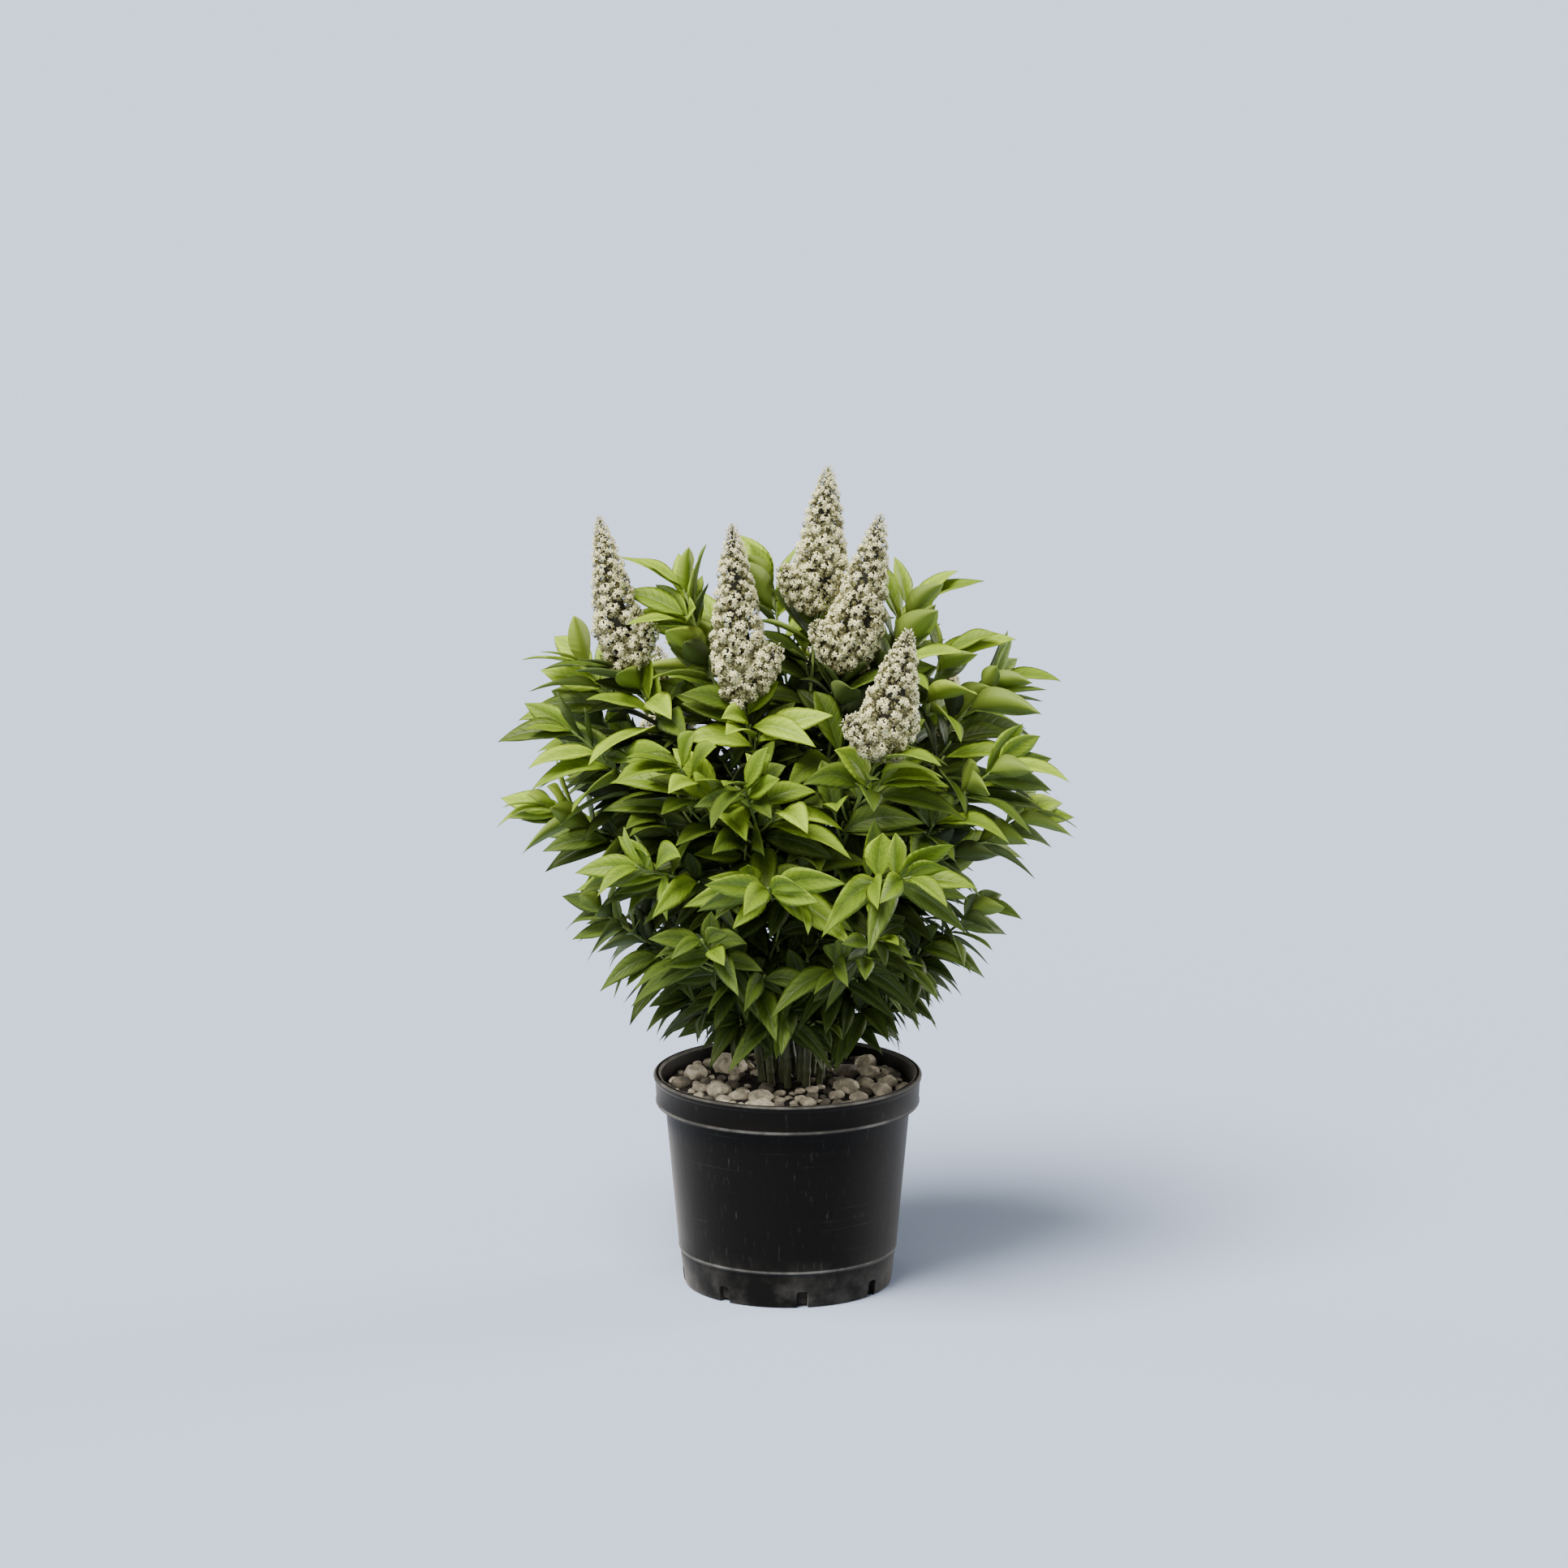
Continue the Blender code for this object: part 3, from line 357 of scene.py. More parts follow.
def between(table, value):
    """Reads a table of (place, amount) rows at a place between two of them."""
    if value <= table[0][0]:
        return table[0][1]
    for (low, first), (high, second) in zip(table, table[1:]):
        if value <= high:
            return first + (second - first) * (value - low) / (high - low)
    return table[-1][1]


def seeded(*key):
    """A random stream of its own for each named thing."""
    return random.Random(" ".join(str(word) for word in key))


def radial(angle):
    return Vector((math.cos(angle), math.sin(angle), 0))


def height_above_rim(point):
    return point.z - POT_HIGH.z


class Limb:
    """A tapering round limb along a curve of three points."""

    def __init__(self, foot, turn, tip, thick, thin):
        self.foot, self.turn, self.tip = Vector(foot), Vector(turn), Vector(tip)
        self.thick, self.thin = thick, thin

    def at(self, share):
        rest = 1 - share
        return self.foot * rest**2 + self.turn * (2 * share * rest) + self.tip * share**2

    def heading(self, share):
        return ((self.turn - self.foot) * (1 - share) + (self.tip - self.turn) * share).normalized()

    def radius(self, share):
        return self.thick + (self.thin - self.thick) * share

    def length(self, first=0.0):
        steps = 12
        shares = [first + (1 - first) * step / steps for step in range(steps + 1)]
        return sum((self.at(b) - self.at(a)).length for a, b in zip(shares, shares[1:]))

    def rest_from(self, share):
        """The same curve from a share of it on, as a limb of its own."""
        return Limb(self.at(share), self.turn.lerp(self.tip, share), self.tip, self.radius(share), self.thin)


class Mass:
    """One stem with its twigs and leaves. A twig is a limb and the share of it at which its leaves start."""

    def __init__(self, name, stem, spacing, droop=1.0):
        self.name, self.stem, self.spacing, self.droop = name, stem, spacing, droop
        self.twigs = [(stem, STEM_BARE)]
        self.fine_twigs = []
        self.leaves = []
        self.fine_leaves = []


Leaf = namedtuple("Leaf", "mass order root heading along face length droop")


def cane_feet():
    """The canes' feet: an inner and an outer ring, in the order in which their tips lie round the pot."""
    feet = {}
    outer = [name for name in CANES if name not in INNER_CANES]
    for names, radius in ((INNER_CANES, INNER_FOOT_RADIUS), (outer, OUTER_FOOT_RADIUS)):
        turns = {name: math.atan2(CANES[name].depth, CANES[name].across) for name in names}
        ordered = sorted(names, key=turns.get)
        first = turns[ordered[0]]
        for index, name in enumerate(ordered):
            even = first + math.tau * index / len(ordered)
            feet[name] = CANE_MIDDLE + radial(even) * radius + UP * (SOIL_HEIGHT + GAP)
    return feet


def cane_limbs():
    """Each cane's whole curve: it rises steeply from its foot and then arches out to its tip."""
    limbs = {}
    for name, foot in cane_feet().items():
        cane = CANES[name]
        tip = Vector((cane.across, cane.depth, POT_HIGH.z + cane.rise))
        reach = tip - foot
        turn = foot + Vector((reach.x * CANE_LEAN, reach.y * CANE_LEAN, reach.z * CANE_TURN))
        thin = FLOWERING_TIP_THICKNESS if name in SPIKES else TWIG_TIP_THICKNESS
        limbs[name] = Limb(foot, turn, tip, CANE_THICKNESS, thin)
    return limbs


def side_twig(stem, draw, share, side, length_share):
    """A twig that leaves the stem on one side, swings out level and then rises."""
    start = stem.at(share)
    out = Vector((stem.tip.x, stem.tip.y, 0)).normalized()
    out.rotate(Quaternion(UP, side * (SIDE_TWIG_SWING + draw.uniform(-0.2, 0.2))))
    length = stem.length(share) * length_share * draw.uniform(0.9, 1.15)
    climb = stem.heading(share).z * SIDE_TWIG_CLIMB
    tip = start + (out * (1 - climb * 0.5) + UP * climb).normalized() * length
    turn = start.lerp(tip, 0.5) + (out - UP * 0.6) * (length * SIDE_TWIG_SAG)
    return Limb(start, turn, tip, stem.radius(share) * SIDE_TWIG_THICKNESS, TWIG_TIP_THICKNESS)


def add_side_twigs(mass, count):
    for order, (share, side) in enumerate(SIDE_TWIGS[:count]):
        twig = side_twig(mass.stem, seeded(mass.name, "twig", order), share, side, SIDE_TWIG_LENGTH)
        mass.twigs.append((twig, SIDE_TWIG_BARE))


def add_twig_beside(mass, place):
    """A leafy twig that rises next to the stem, to a stated top."""
    stem = mass.stem
    start = stem.at(BESIDE_FORK)
    tip = Vector(place) + UP * POT_HIGH.z
    turn = start.lerp(tip, 0.5) + (tip - stem.at(0.8)).normalized() * BESIDE_BOW
    thick = stem.radius(BESIDE_FORK) * SIDE_TWIG_THICKNESS
    mass.twigs.append((Limb(start, turn, tip, thick, TWIG_TIP_THICKNESS), BESIDE_BARE))


def clear_of(surface, along, heading, thickness):
    """How far along a direction a limb's centre starts, so that its tilted end stays a gap off a surface."""
    tilt = math.sqrt(max(0.0, 1 - along.dot(heading) ** 2))
    return surface + GAP + thickness * tilt


def cane_masses(limbs):
    masses = []
    for name, limb in limbs.items():
        start = CANE_FORK + GAP * 1.5 / limb.length()
        mass = Mass(name, limb.rest_from(start), LEAF_SPACING)
        add_side_twigs(mass, len(SIDE_TWIGS))
        if CANES[name].beside:
            add_twig_beside(mass, CANES[name].beside)
        masses.append(mass)
    return masses


def ring_masses(limbs):
    """The lower masses: each leaves the side of the cane whose foot lies nearest its own direction."""
    masses = []
    outer = [name for name in limbs if name not in INNER_CANES]
    for ring_name, ring in RINGS.items():
        for index in range(ring.count):
            out = radial(ring.first_turn + math.tau * index / ring.count)
            nearest = max(outer, key=lambda name: (limbs[name].foot - CANE_MIDDLE).dot(out))
            cane = limbs[nearest]
            heart, heading = cane.at(ring.leaves_cane), cane.heading(ring.leaves_cane)
            side = (out - heading * out.dot(heading)).normalized()
            tip = out * ring.radius + UP * (POT_HIGH.z + ring.rise)
            turn = heart + (tip - heart) * 0.5
            turn.z = heart.z + (tip.z - heart.z) * RING_STEM_RISE
            first = (turn - heart).normalized()
            start = heart + side * clear_of(cane.radius(ring.leaves_cane), side, first, TWIG_THICKNESS)
            stem = Limb(start, turn, tip, TWIG_THICKNESS, TWIG_TIP_THICKNESS)
            mass = Mass(f"{ring_name}_{index + 1}", stem, RING_LEAF_SPACING, 1 + ring.droop)
            add_side_twigs(mass, RING_SIDE_TWIGS)
            masses.append(mass)
    return masses


def add_fine_twigs(mass):
    """Short twigs between the source's, on its stem and on each of its twigs."""
    for order, (limb, bare) in enumerate(mass.twigs):
        for number, (share, side) in enumerate(FINE_TWIGS):
            draw = seeded(mass.name, order, "fine twig", number)
            if share < bare:
                continue
            twig = side_twig(limb, draw, share, side * (-1) ** order, FINE_TWIG_LENGTH)
            if twig.length() > 0.018:
                mass.fine_twigs.append((twig, 0.18))


def add_low_twigs(mass, cane):
    """Short twigs on the lower part of a cane, which fill the foot of the crown."""
    for number, (share, side) in enumerate(LOW_TWIGS):
        draw = seeded(mass.name, "low twig", number)
        mass.fine_twigs.append((side_twig(cane, draw, share, side, LOW_TWIG_LENGTH), 0.25))


def blade_width(leaf):
    return settings().leaf.width * leaf.length * between(LEAF_BREADTHS, leaf.length)


def spine(leaf, share):
    """The midrib: straight out from the twig, then bent down by the leaf's own weight."""
    reach = leaf.length * share
    return leaf.root + leaf.along * reach - UP * (reach * leaf.droop * share)


def blade_tree(leaf, spare=0.0):
    """A leaf's rough closed shape, ready for a test of what it touches."""
    across = leaf.along.cross(leaf.face).normalized()
    points = [leaf.root, spine(leaf, 1) + leaf.along * spare]
    width = blade_width(leaf)
    for share, fullness in LEAF_SECTIONS:
        centre = spine(leaf, share)
        heading = (leaf.along - UP * (2 * leaf.droop * share)).normalized()
        above = across.cross(heading).normalized()
        half = across * (width * fullness / 2 + spare)
        rise = above * (width * LEAF_FOLD * fullness + spare)
        keel = above * (leaf.length * LEAF_THICKNESS * fullness + spare)
        points += [centre + half + rise, centre - half + rise, centre - keel]
    faces = []
    for a, b in ((0, 1), (1, 2), (2, 0)):
        faces += [(0, 2 + a, 2 + b), (5 + a, 1, 5 + b), (2 + a, 5 + a, 5 + b, 2 + b)]
    return BVHTree.FromPolygons(points, faces)


def twig_tree(limbs):
    """Three-sided limbs, ready for the same test."""
    points, faces = [], []
    for limb in limbs:
        first, rings = len(points), 5
        for ring in range(rings):
            share = ring / (rings - 1)
            turn = limb.heading(share).to_track_quat("Z", "Y")
            points += [limb.at(share) + turn @ radial(math.tau * k / 3) * limb.radius(share) for k in range(3)]
        for ring in range(rings - 1):
            a, b = first + ring * 3, first + ring * 3 + 3
            faces += [(a + k, a + (k + 1) % 3, b + (k + 1) % 3, b + k) for k in range(3)]
    return BVHTree.FromPolygons(points, faces)


def inside_crown(leaf):
    tip = spine(leaf, 1)
    rise = height_above_rim(tip)
    return rise > CROWN_SKIRT and math.hypot(tip.x, tip.y) <= between(CROWN_OUTLINE, rise)


def swung(leaf, size, swing):
    """The leaf at another size, and turned about its twig."""
    turn = Quaternion(leaf.heading, swing)
    return leaf._replace(along=turn @ leaf.along, face=turn @ leaf.face, length=leaf.length * size)


def leaves_on(mass, order, twig, first, spacing, missing=INNER_LEAVES_MISSING, size=1.0):
    """Leaves spiral up a twig by the golden angle and close towards its tip. The last one points outwards."""
    leaves = []
    count = max(4, round(twig.length(first) / spacing))
    for index in range(count):
        draw = seeded(mass.name, order, "leaf", index)
        share = 1 - (1 - first) * ((count - index - 0.5) / count) ** TIP_CROWDING
        root, heading = twig.at(share), twig.heading(share)
        outward = Vector((root.x, root.y, 0)).normalized()
        side = (outward - heading * outward.dot(heading)).normalized()
        turn = GOLDEN_ANGLE * (count - 1 - index) + draw.uniform(-0.2, 0.2)
        side.rotate(Quaternion(heading, turn + LEAF_SIDEWAYS / 2 * math.sin(2 * turn)))
        opening = LEAF_OPEN + (LEAF_CLOSED - LEAF_OPEN) * share**4 + draw.uniform(-0.12, 0.12)
        along = (heading * math.cos(opening) + side * math.sin(opening)).normalized()
        along = Vector((along.x, along.y * FRONT_REACH, along.z)).normalized()
        rise = height_above_rim(root)
        lowest = between(LEAF_LOWEST_PITCHES, rise)
        if along.z < lowest:
            along = (along + UP * (lowest - along.z)).normalized()
        inward = -along.dot(outward)
        length = between(LEAF_LENGTHS, rise) * draw.uniform(0.88, 1.1) * size
        length *= 1 - LEAF_TIP_SHORTENING * share**3
        droop = between(LEAF_DROOPS, rise) * mass.droop**0.5 * draw.uniform(0.75, 1.25)
        if inward > INWARD:
            length *= INNER_LEAF_SIZE
            if draw.random() < missing:
                continue
        open_side = Vector((root.x, root.y - LIGHT_DEPTH, 0)).normalized()
        light = UP * LIGHT_FROM_ABOVE + open_side * LIGHT_FROM_OUTSIDE
        face = heading * math.sin(opening) - side * math.cos(opening) + light
        face = (face - along * face.dot(along)).normalized()
        face.rotate(Quaternion(along, draw.uniform(-LEAF_ROLL, LEAF_ROLL)))
        leaves.append(Leaf(mass, order, root, heading, along, face, length, droop))
    return leaves


class LeafSpace:
    """The leaves kept so far, in cells, with the solids and twigs that a new one must not touch."""

    CELL = 0.08

    def __init__(self, solids, twig_trees):
        self.solids, self.twig_trees, self.cells = solids, twig_trees, {}

    def keys(self, middle, reach):
        low = [math.floor((c - reach) / self.CELL) for c in middle]
        high = [math.floor((c + reach) / self.CELL) for c in middle]
        return (
            (x, y, z)
            for x in range(low[0], high[0] + 1)
            for y in range(low[1], high[1] + 1)
            for z in range(low[2], high[2] + 1)
        )

    def place(self, leaf, tries, spare):
        """The leaf at the first of the tries that fits, or None."""
        for size, swing in tries:
            tried = swung(leaf, size, swing)
            if not inside_crown(tried):
                continue
            tree = blade_tree(tried, spare)
            middle, reach = spine(tried, 0.5), tried.length * 0.6
            keys = list(self.keys(middle, reach))
            near = {}
            for key in keys:
                for entry in self.cells.get(key, ()):
                    near[id(entry)] = entry
            touching = (other for other, place, far in near.values() if (place - middle).length < far + reach)
            limbs = (limb for name, limb in self.twig_trees.items() if name != leaf.mass.name)
            if any(tree.overlap(other) for other in chain(touching, self.solids, limbs)):
                continue
            entry = (tree, middle, reach)
            for key in keys:
                self.cells.setdefault(key, []).append(entry)
            return tried
        return None


@functools.cache
def grown():
    """The whole plant's limbs and masses, with the leaves that fit: the source's first, then finer ones."""
    limbs = cane_limbs()
    masses = cane_masses(limbs) + ring_masses(limbs)
    solids = []
    for name, thing in frame["nodes"].items():
        if not name.startswith("foliage_"):
            mesh = thing.data
            solids.append(BVHTree.FromPolygons([v.co for v in mesh.vertices], [tuple(p.vertices) for p in mesh.polygons]))
    trees = {mass.name: twig_tree([limb for limb, _ in mass.twigs]) for mass in masses}
    space = LeafSpace(solids, trees)
    heart = Vector((0, 0, CROWN_MIDDLE))

    def outermost_first(leaves):
        return sorted(leaves, key=lambda leaf: -(spine(leaf, 1) - heart).length)

    wanted = [
        leaf
        for mass in masses
        for order, (twig, first) in enumerate(mass.twigs)
        for leaf in leaves_on(mass, order, twig, first, mass.spacing)
    ]
    for leaf in outermost_first(wanted):
        kept = space.place(leaf, LEAF_TRIES, LEAF_CLEARANCE)
        if kept:
            leaf.mass.leaves.append(kept)
    finer = []
    for mass in masses:
        add_fine_twigs(mass)
        if mass.name in limbs:
            add_low_twigs(mass, limbs[mass.name])
        for order, (twig, first) in enumerate(mass.twigs):
            finer += leaves_on(mass, f"{order} between", twig, first, FINE_SPACING, 0.4, FINE_LEAF_SIZE)
        for order, (twig, first) in enumerate(mass.fine_twigs):
            finer += leaves_on(mass, f"{order} fine", twig, first, FINE_SPACING, 0.4, FINE_LEAF_SIZE)
    inner = [
        leaf._replace(droop=leaf.droop * INNER_DROOP)
        for mass in masses
        for order, (twig, first) in enumerate(mass.twigs + mass.fine_twigs)
        for leaf in leaves_on(mass, f"{order} inner", twig, first * 0.5, INNER_SPACING, 0.0, INNER_FILL_SIZE)
    ]
    for more, tries in ((finer, LEAF_TRIES), (inner, INNER_TRIES)):
        for leaf in outermost_first(more):
            kept = space.place(leaf, tries, 0.0)
            if kept:
                leaf.mass.fine_leaves.append(kept)
    return limbs, masses


def openness(leaves):
    """The share of the sky that each leaf sees past the others, from a few rays outwards and up."""
    points, faces = [], []
    for leaf in leaves:
        half = leaf.along.cross(leaf.face).normalized() * (blade_width(leaf) / 2)
        middle = spine(leaf, 0.45)
        faces.append(tuple(range(len(points), len(points) + 4)))
        points += [leaf.root, middle - half, spine(leaf, 1), middle + half]
    tree = BVHTree.FromPolygons(points, faces)
    shares = []
    for leaf in leaves:
        place = spine(leaf, 0.55)
        out = math.atan2(place.y, place.x)
        free = 0
        for rise, swing in SKY_RAYS:
            level = radial(out + math.radians(swing)) * math.cos(math.radians(rise))
            ray = level + UP * math.sin(math.radians(rise))
            free += tree.ray_cast(place + ray * 0.012, ray)[0] is None
        shares.append(free / len(SKY_RAYS))
    return shares


# Meshes


class Pile:
    """Points and faces gathered for one joined mesh, with a finish for each face and a chart for baking."""

    def __init__(self):
        self.points, self.corners, self.sizes, self.finishes, self.chart = [], [], [], [], []
        self.count = 0

    def add(self, points, *groups):
        """Each group is (faces of one size, finish, chart place of each point)."""
        for faces, finish, chart in groups:
            faces = np.asarray(faces)
            self.corners.append(faces.ravel() + self.count)
            self.sizes.append(np.full(len(faces), faces.shape[1]))
            self.finishes.append(np.broadcast_to(finish, len(faces)))
            self.chart.append(np.asarray(chart)[faces.ravel()])
        self.points.append(np.asarray(points))
        self.count += len(points)

    def triangles(self):
        return int(sum((sizes - 2).sum() for sizes in self.sizes))

    def mesh(self, name):
        points, corners = np.concatenate(self.points), np.concatenate(self.corners)
        sizes = np.concatenate(self.sizes)
        made = bpy.data.meshes.new(name)
        made.vertices.add(len(points))
        made.vertices.foreach_set("co", points.astype(np.float32).ravel())
        made.loops.add(len(corners))
        made.loops.foreach_set("vertex_index", corners.astype(np.int32))
        made.polygons.add(len(sizes))
        made.polygons.foreach_set("loop_start", np.concatenate([[0], np.cumsum(sizes)[:-1]]).astype(np.int32))
        made.update(calc_edges=True)
        made.polygons.foreach_set("material_index", np.concatenate(self.finishes).astype(np.int32))
        made.uv_layers.new(name=BAKE_CHART)
        made.uv_layers[BAKE_CHART].uv.foreach_set("vector", np.concatenate(self.chart).astype(np.float32).ravel())
        made.shade_smooth()
        made.update()
        return made


def settings():
    return bpy.context.scene.laurel


def show(name, mesh, slot, replaced, *finishes):
    """A finished piece in the scene: it rides on the plant's one body and stands for the nodes that it replaces."""
    made = bpy.data.objects.new(name, mesh)
    bpy.context.scene.collection.objects.link(made)
    for finish in finishes:
        mesh.materials.append(finish)
    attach(made, "root")
    if replaced:
        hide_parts(*replaced)
    return made


def mesh_of(form, name):
    mesh = bpy.data.meshes.new(name)
    form.to_mesh(mesh)
    form.free()
    return mesh


def ring_faces(rings, sides):
    """Four-sided faces between rings of points that follow one another."""
    ring, side = np.meshgrid(np.arange(rings - 1), np.arange(sides), indexing="ij")
    after = (side + 1) % sides
    low, high = ring * sides, (ring + 1) * sides
    return np.stack([low + side, low + after, high + after, high + side], -1).reshape(-1, 4)


def add_tube(pile, limb, rings, sides, finish=0, first=0.0, last=1.0, relief=None, flare=0.0):
    """A limb's skin with closed ends. relief(share, side) swells it, as a share of its radius."""
    points = []
    frame_side = limb.heading(first).orthogonal().normalized()
    for ring in range(rings):
        share = first + (last - first) * ring / (rings - 1)
        heading = limb.heading(share)
        frame_side = (frame_side - heading * frame_side.dot(heading)).normalized()
        other = heading.cross(frame_side)
        radius = limb.radius(share)
        if flare:
            rise = (limb.at(share) - limb.foot).length
            radius += flare * math.exp(-rise / FLARE_HEIGHT)
        for side in range(sides):
            turn = math.tau * side / sides
            swell = 1 + (relief(share, side) if relief else 0)
            points.append(limb.at(share) + (frame_side * math.cos(turn) + other * math.sin(turn)) * radius * swell)
    top = len(points)
    points += [limb.at(first), limb.at(last)]
    around = np.arange(sides)
    after = (around + 1) % sides
    low = np.stack([np.full(sides, top), after, around], 1)
    high = np.stack([np.full(sides, top + 1), around + sides * (rings - 1), after + sides * (rings - 1)], 1)
    chart = np.zeros((len(points), 2))
    chart[:top, 0] = np.tile(around / sides, rings)
    chart[:top, 1] = np.repeat(np.linspace(0, 1, rings), sides)
    pile.add(points, (ring_faces(rings, sides), finish, chart), (low, finish, chart), (high, finish, chart))


# Finishes


class Value:
    """A socket in a finish. A sum written with it adds its Math nodes."""

    def __init__(self, finish, socket):
        self.finish, self.socket = finish, socket

    def math(self, operation, first, second=None, third=None):
        values = {i: v for i, v in enumerate((first, second, third)) if v is not None}
        return self.finish.node("ShaderNodeMath", {"operation": operation}, values)

    def __add__(self, other):
        return self.math("ADD", self, other)

    def __sub__(self, other):
        return self.math("SUBTRACT", self, other)

    def __rsub__(self, other):
        return self.math("SUBTRACT", other, self)

    def __mul__(self, other):
        return self.math("MULTIPLY", self, other)

    def __truediv__(self, other):
        return self.math("DIVIDE", self, other)

    def __pow__(self, other):
        return self.math("POWER", self, other)

    __radd__ = __add__
    __rmul__ = __mul__

    def size(self):
        return self.math("ABSOLUTE", self)

    def fraction(self):
        return self.math("FRACT", self)

    def held(self):
        """Kept between 0 and 1."""
        return self.finish.node("ShaderNodeClamp", {}, {"Value": self})

    def step(self, low, high):
        """0 below low and 1 above high, with a smooth rise between."""
        return self.finish.node(
            "ShaderNodeMapRange",
            {"interpolation_type": "SMOOTHSTEP"},
            {"Value": self, "From Min": low, "From Max": high},
        )


class Finish:
    """A material built on one Principled shader."""

    def __init__(self, name, colour, roughness, **numbers):
        self.material = bpy.data.materials.new(name)
        self.material.use_nodes = True
        self.tree = self.material.node_tree
        self.shader = self.tree.nodes["Principled BSDF"]
        self.feed("Base Color", colour)
        self.feed("Roughness", roughness)
        for socket, number in numbers.items():
            self.feed(socket.replace("_", " "), number)

    def feed(self, name, value):
        self.put(self.shader.inputs[name], value)

    def put(self, socket, value):
        if isinstance(value, Value):
            self.tree.links.new(value.socket, socket)
        elif hasattr(value, "__len__") and len(value) == 3 and socket.type == "RGBA":
            socket.default_value = (*value, 1)
        else:
            socket.default_value = value

    def node(self, kind, settings, sockets, out=0):
        """A node of a kind: its settings first, then the values or links of its sockets, then one output."""
        made = self.tree.nodes.new(kind)
        for name, value in settings.items():
            if name == "stops":
                ramp = made.color_ramp.elements
                while len(ramp) < len(value):
                    ramp.new(1)
                for stop, (place, colour) in zip(ramp, value):
                    stop.position, stop.color = place, (*colour, 1)
            else:
                setattr(made, name, value)
        for name, value in sockets.items():
            self.put(made.inputs[name], value)
        return Value(self, made.outputs[out])

    def mix(self, share, first, second, how="MIX"):
        """Two colours mixed."""
        return self.node(
            "ShaderNodeMix", {"data_type": "RGBA", "blend_type": how}, {0: share, 6: first, 7: second}, out=2
        )

    def place(self):
        return self.node("ShaderNodeTexCoord", {}, {}, out="Object")

    def chart(self):
        """The two chart coordinates of a point."""
        both = self.node("ShaderNodeUVMap", {"uv_map": BAKE_CHART}, {})
        return (
            self.node("ShaderNodeSeparateXYZ", {}, {"Vector": both}, out="X"),
            self.node("ShaderNodeSeparateXYZ", {}, {"Vector": both}, out="Y"),
        )

    def stretched(self, vector, scale):
        return self.node("ShaderNodeVectorMath", {"operation": "MULTIPLY"}, {0: vector, 1: scale})

    def grain(self, vector, scale, detail=3.0, roughness=0.5):
        return self.node(
            "ShaderNodeTexNoise",
            {"noise_dimensions": "3D"},
            {"Vector": vector, "Scale": scale, "Detail": detail, "Roughness": roughness},
            out="Fac",
        )

    def cells(self, vector, scale, feature="F1"):
        return self.node(
            "ShaderNodeTexVoronoi", {"feature": feature}, {"Vector": vector, "Scale": scale}, out="Distance"
        )

    def bump(self, height, depth, strength=1.0):
        self.feed(
            "Normal",
            self.node("ShaderNodeBump", {}, {"Strength": strength, "Distance": depth, "Height": height}, out="Normal"),
        )


def scaled(colour, share):
    return tuple(min(1.0, c * share) for c in colour)


def speckled(name, colour, roughness, scale):
    """The finish of a small plain part: its colour with finer, darker specks."""
    finish = Finish(name, colour, roughness)
    specks = finish.grain(finish.place(), scale, 3, 0.6)
    finish.feed("Base Color", finish.mix(specks.step(0.42, 0.66) * 0.7, scaled(colour, 1.1), scaled(colour, 0.55)))
    finish.feed("Roughness", (specks * 0.3 + (roughness - 0.15)).held())
    return finish.material


# Pot


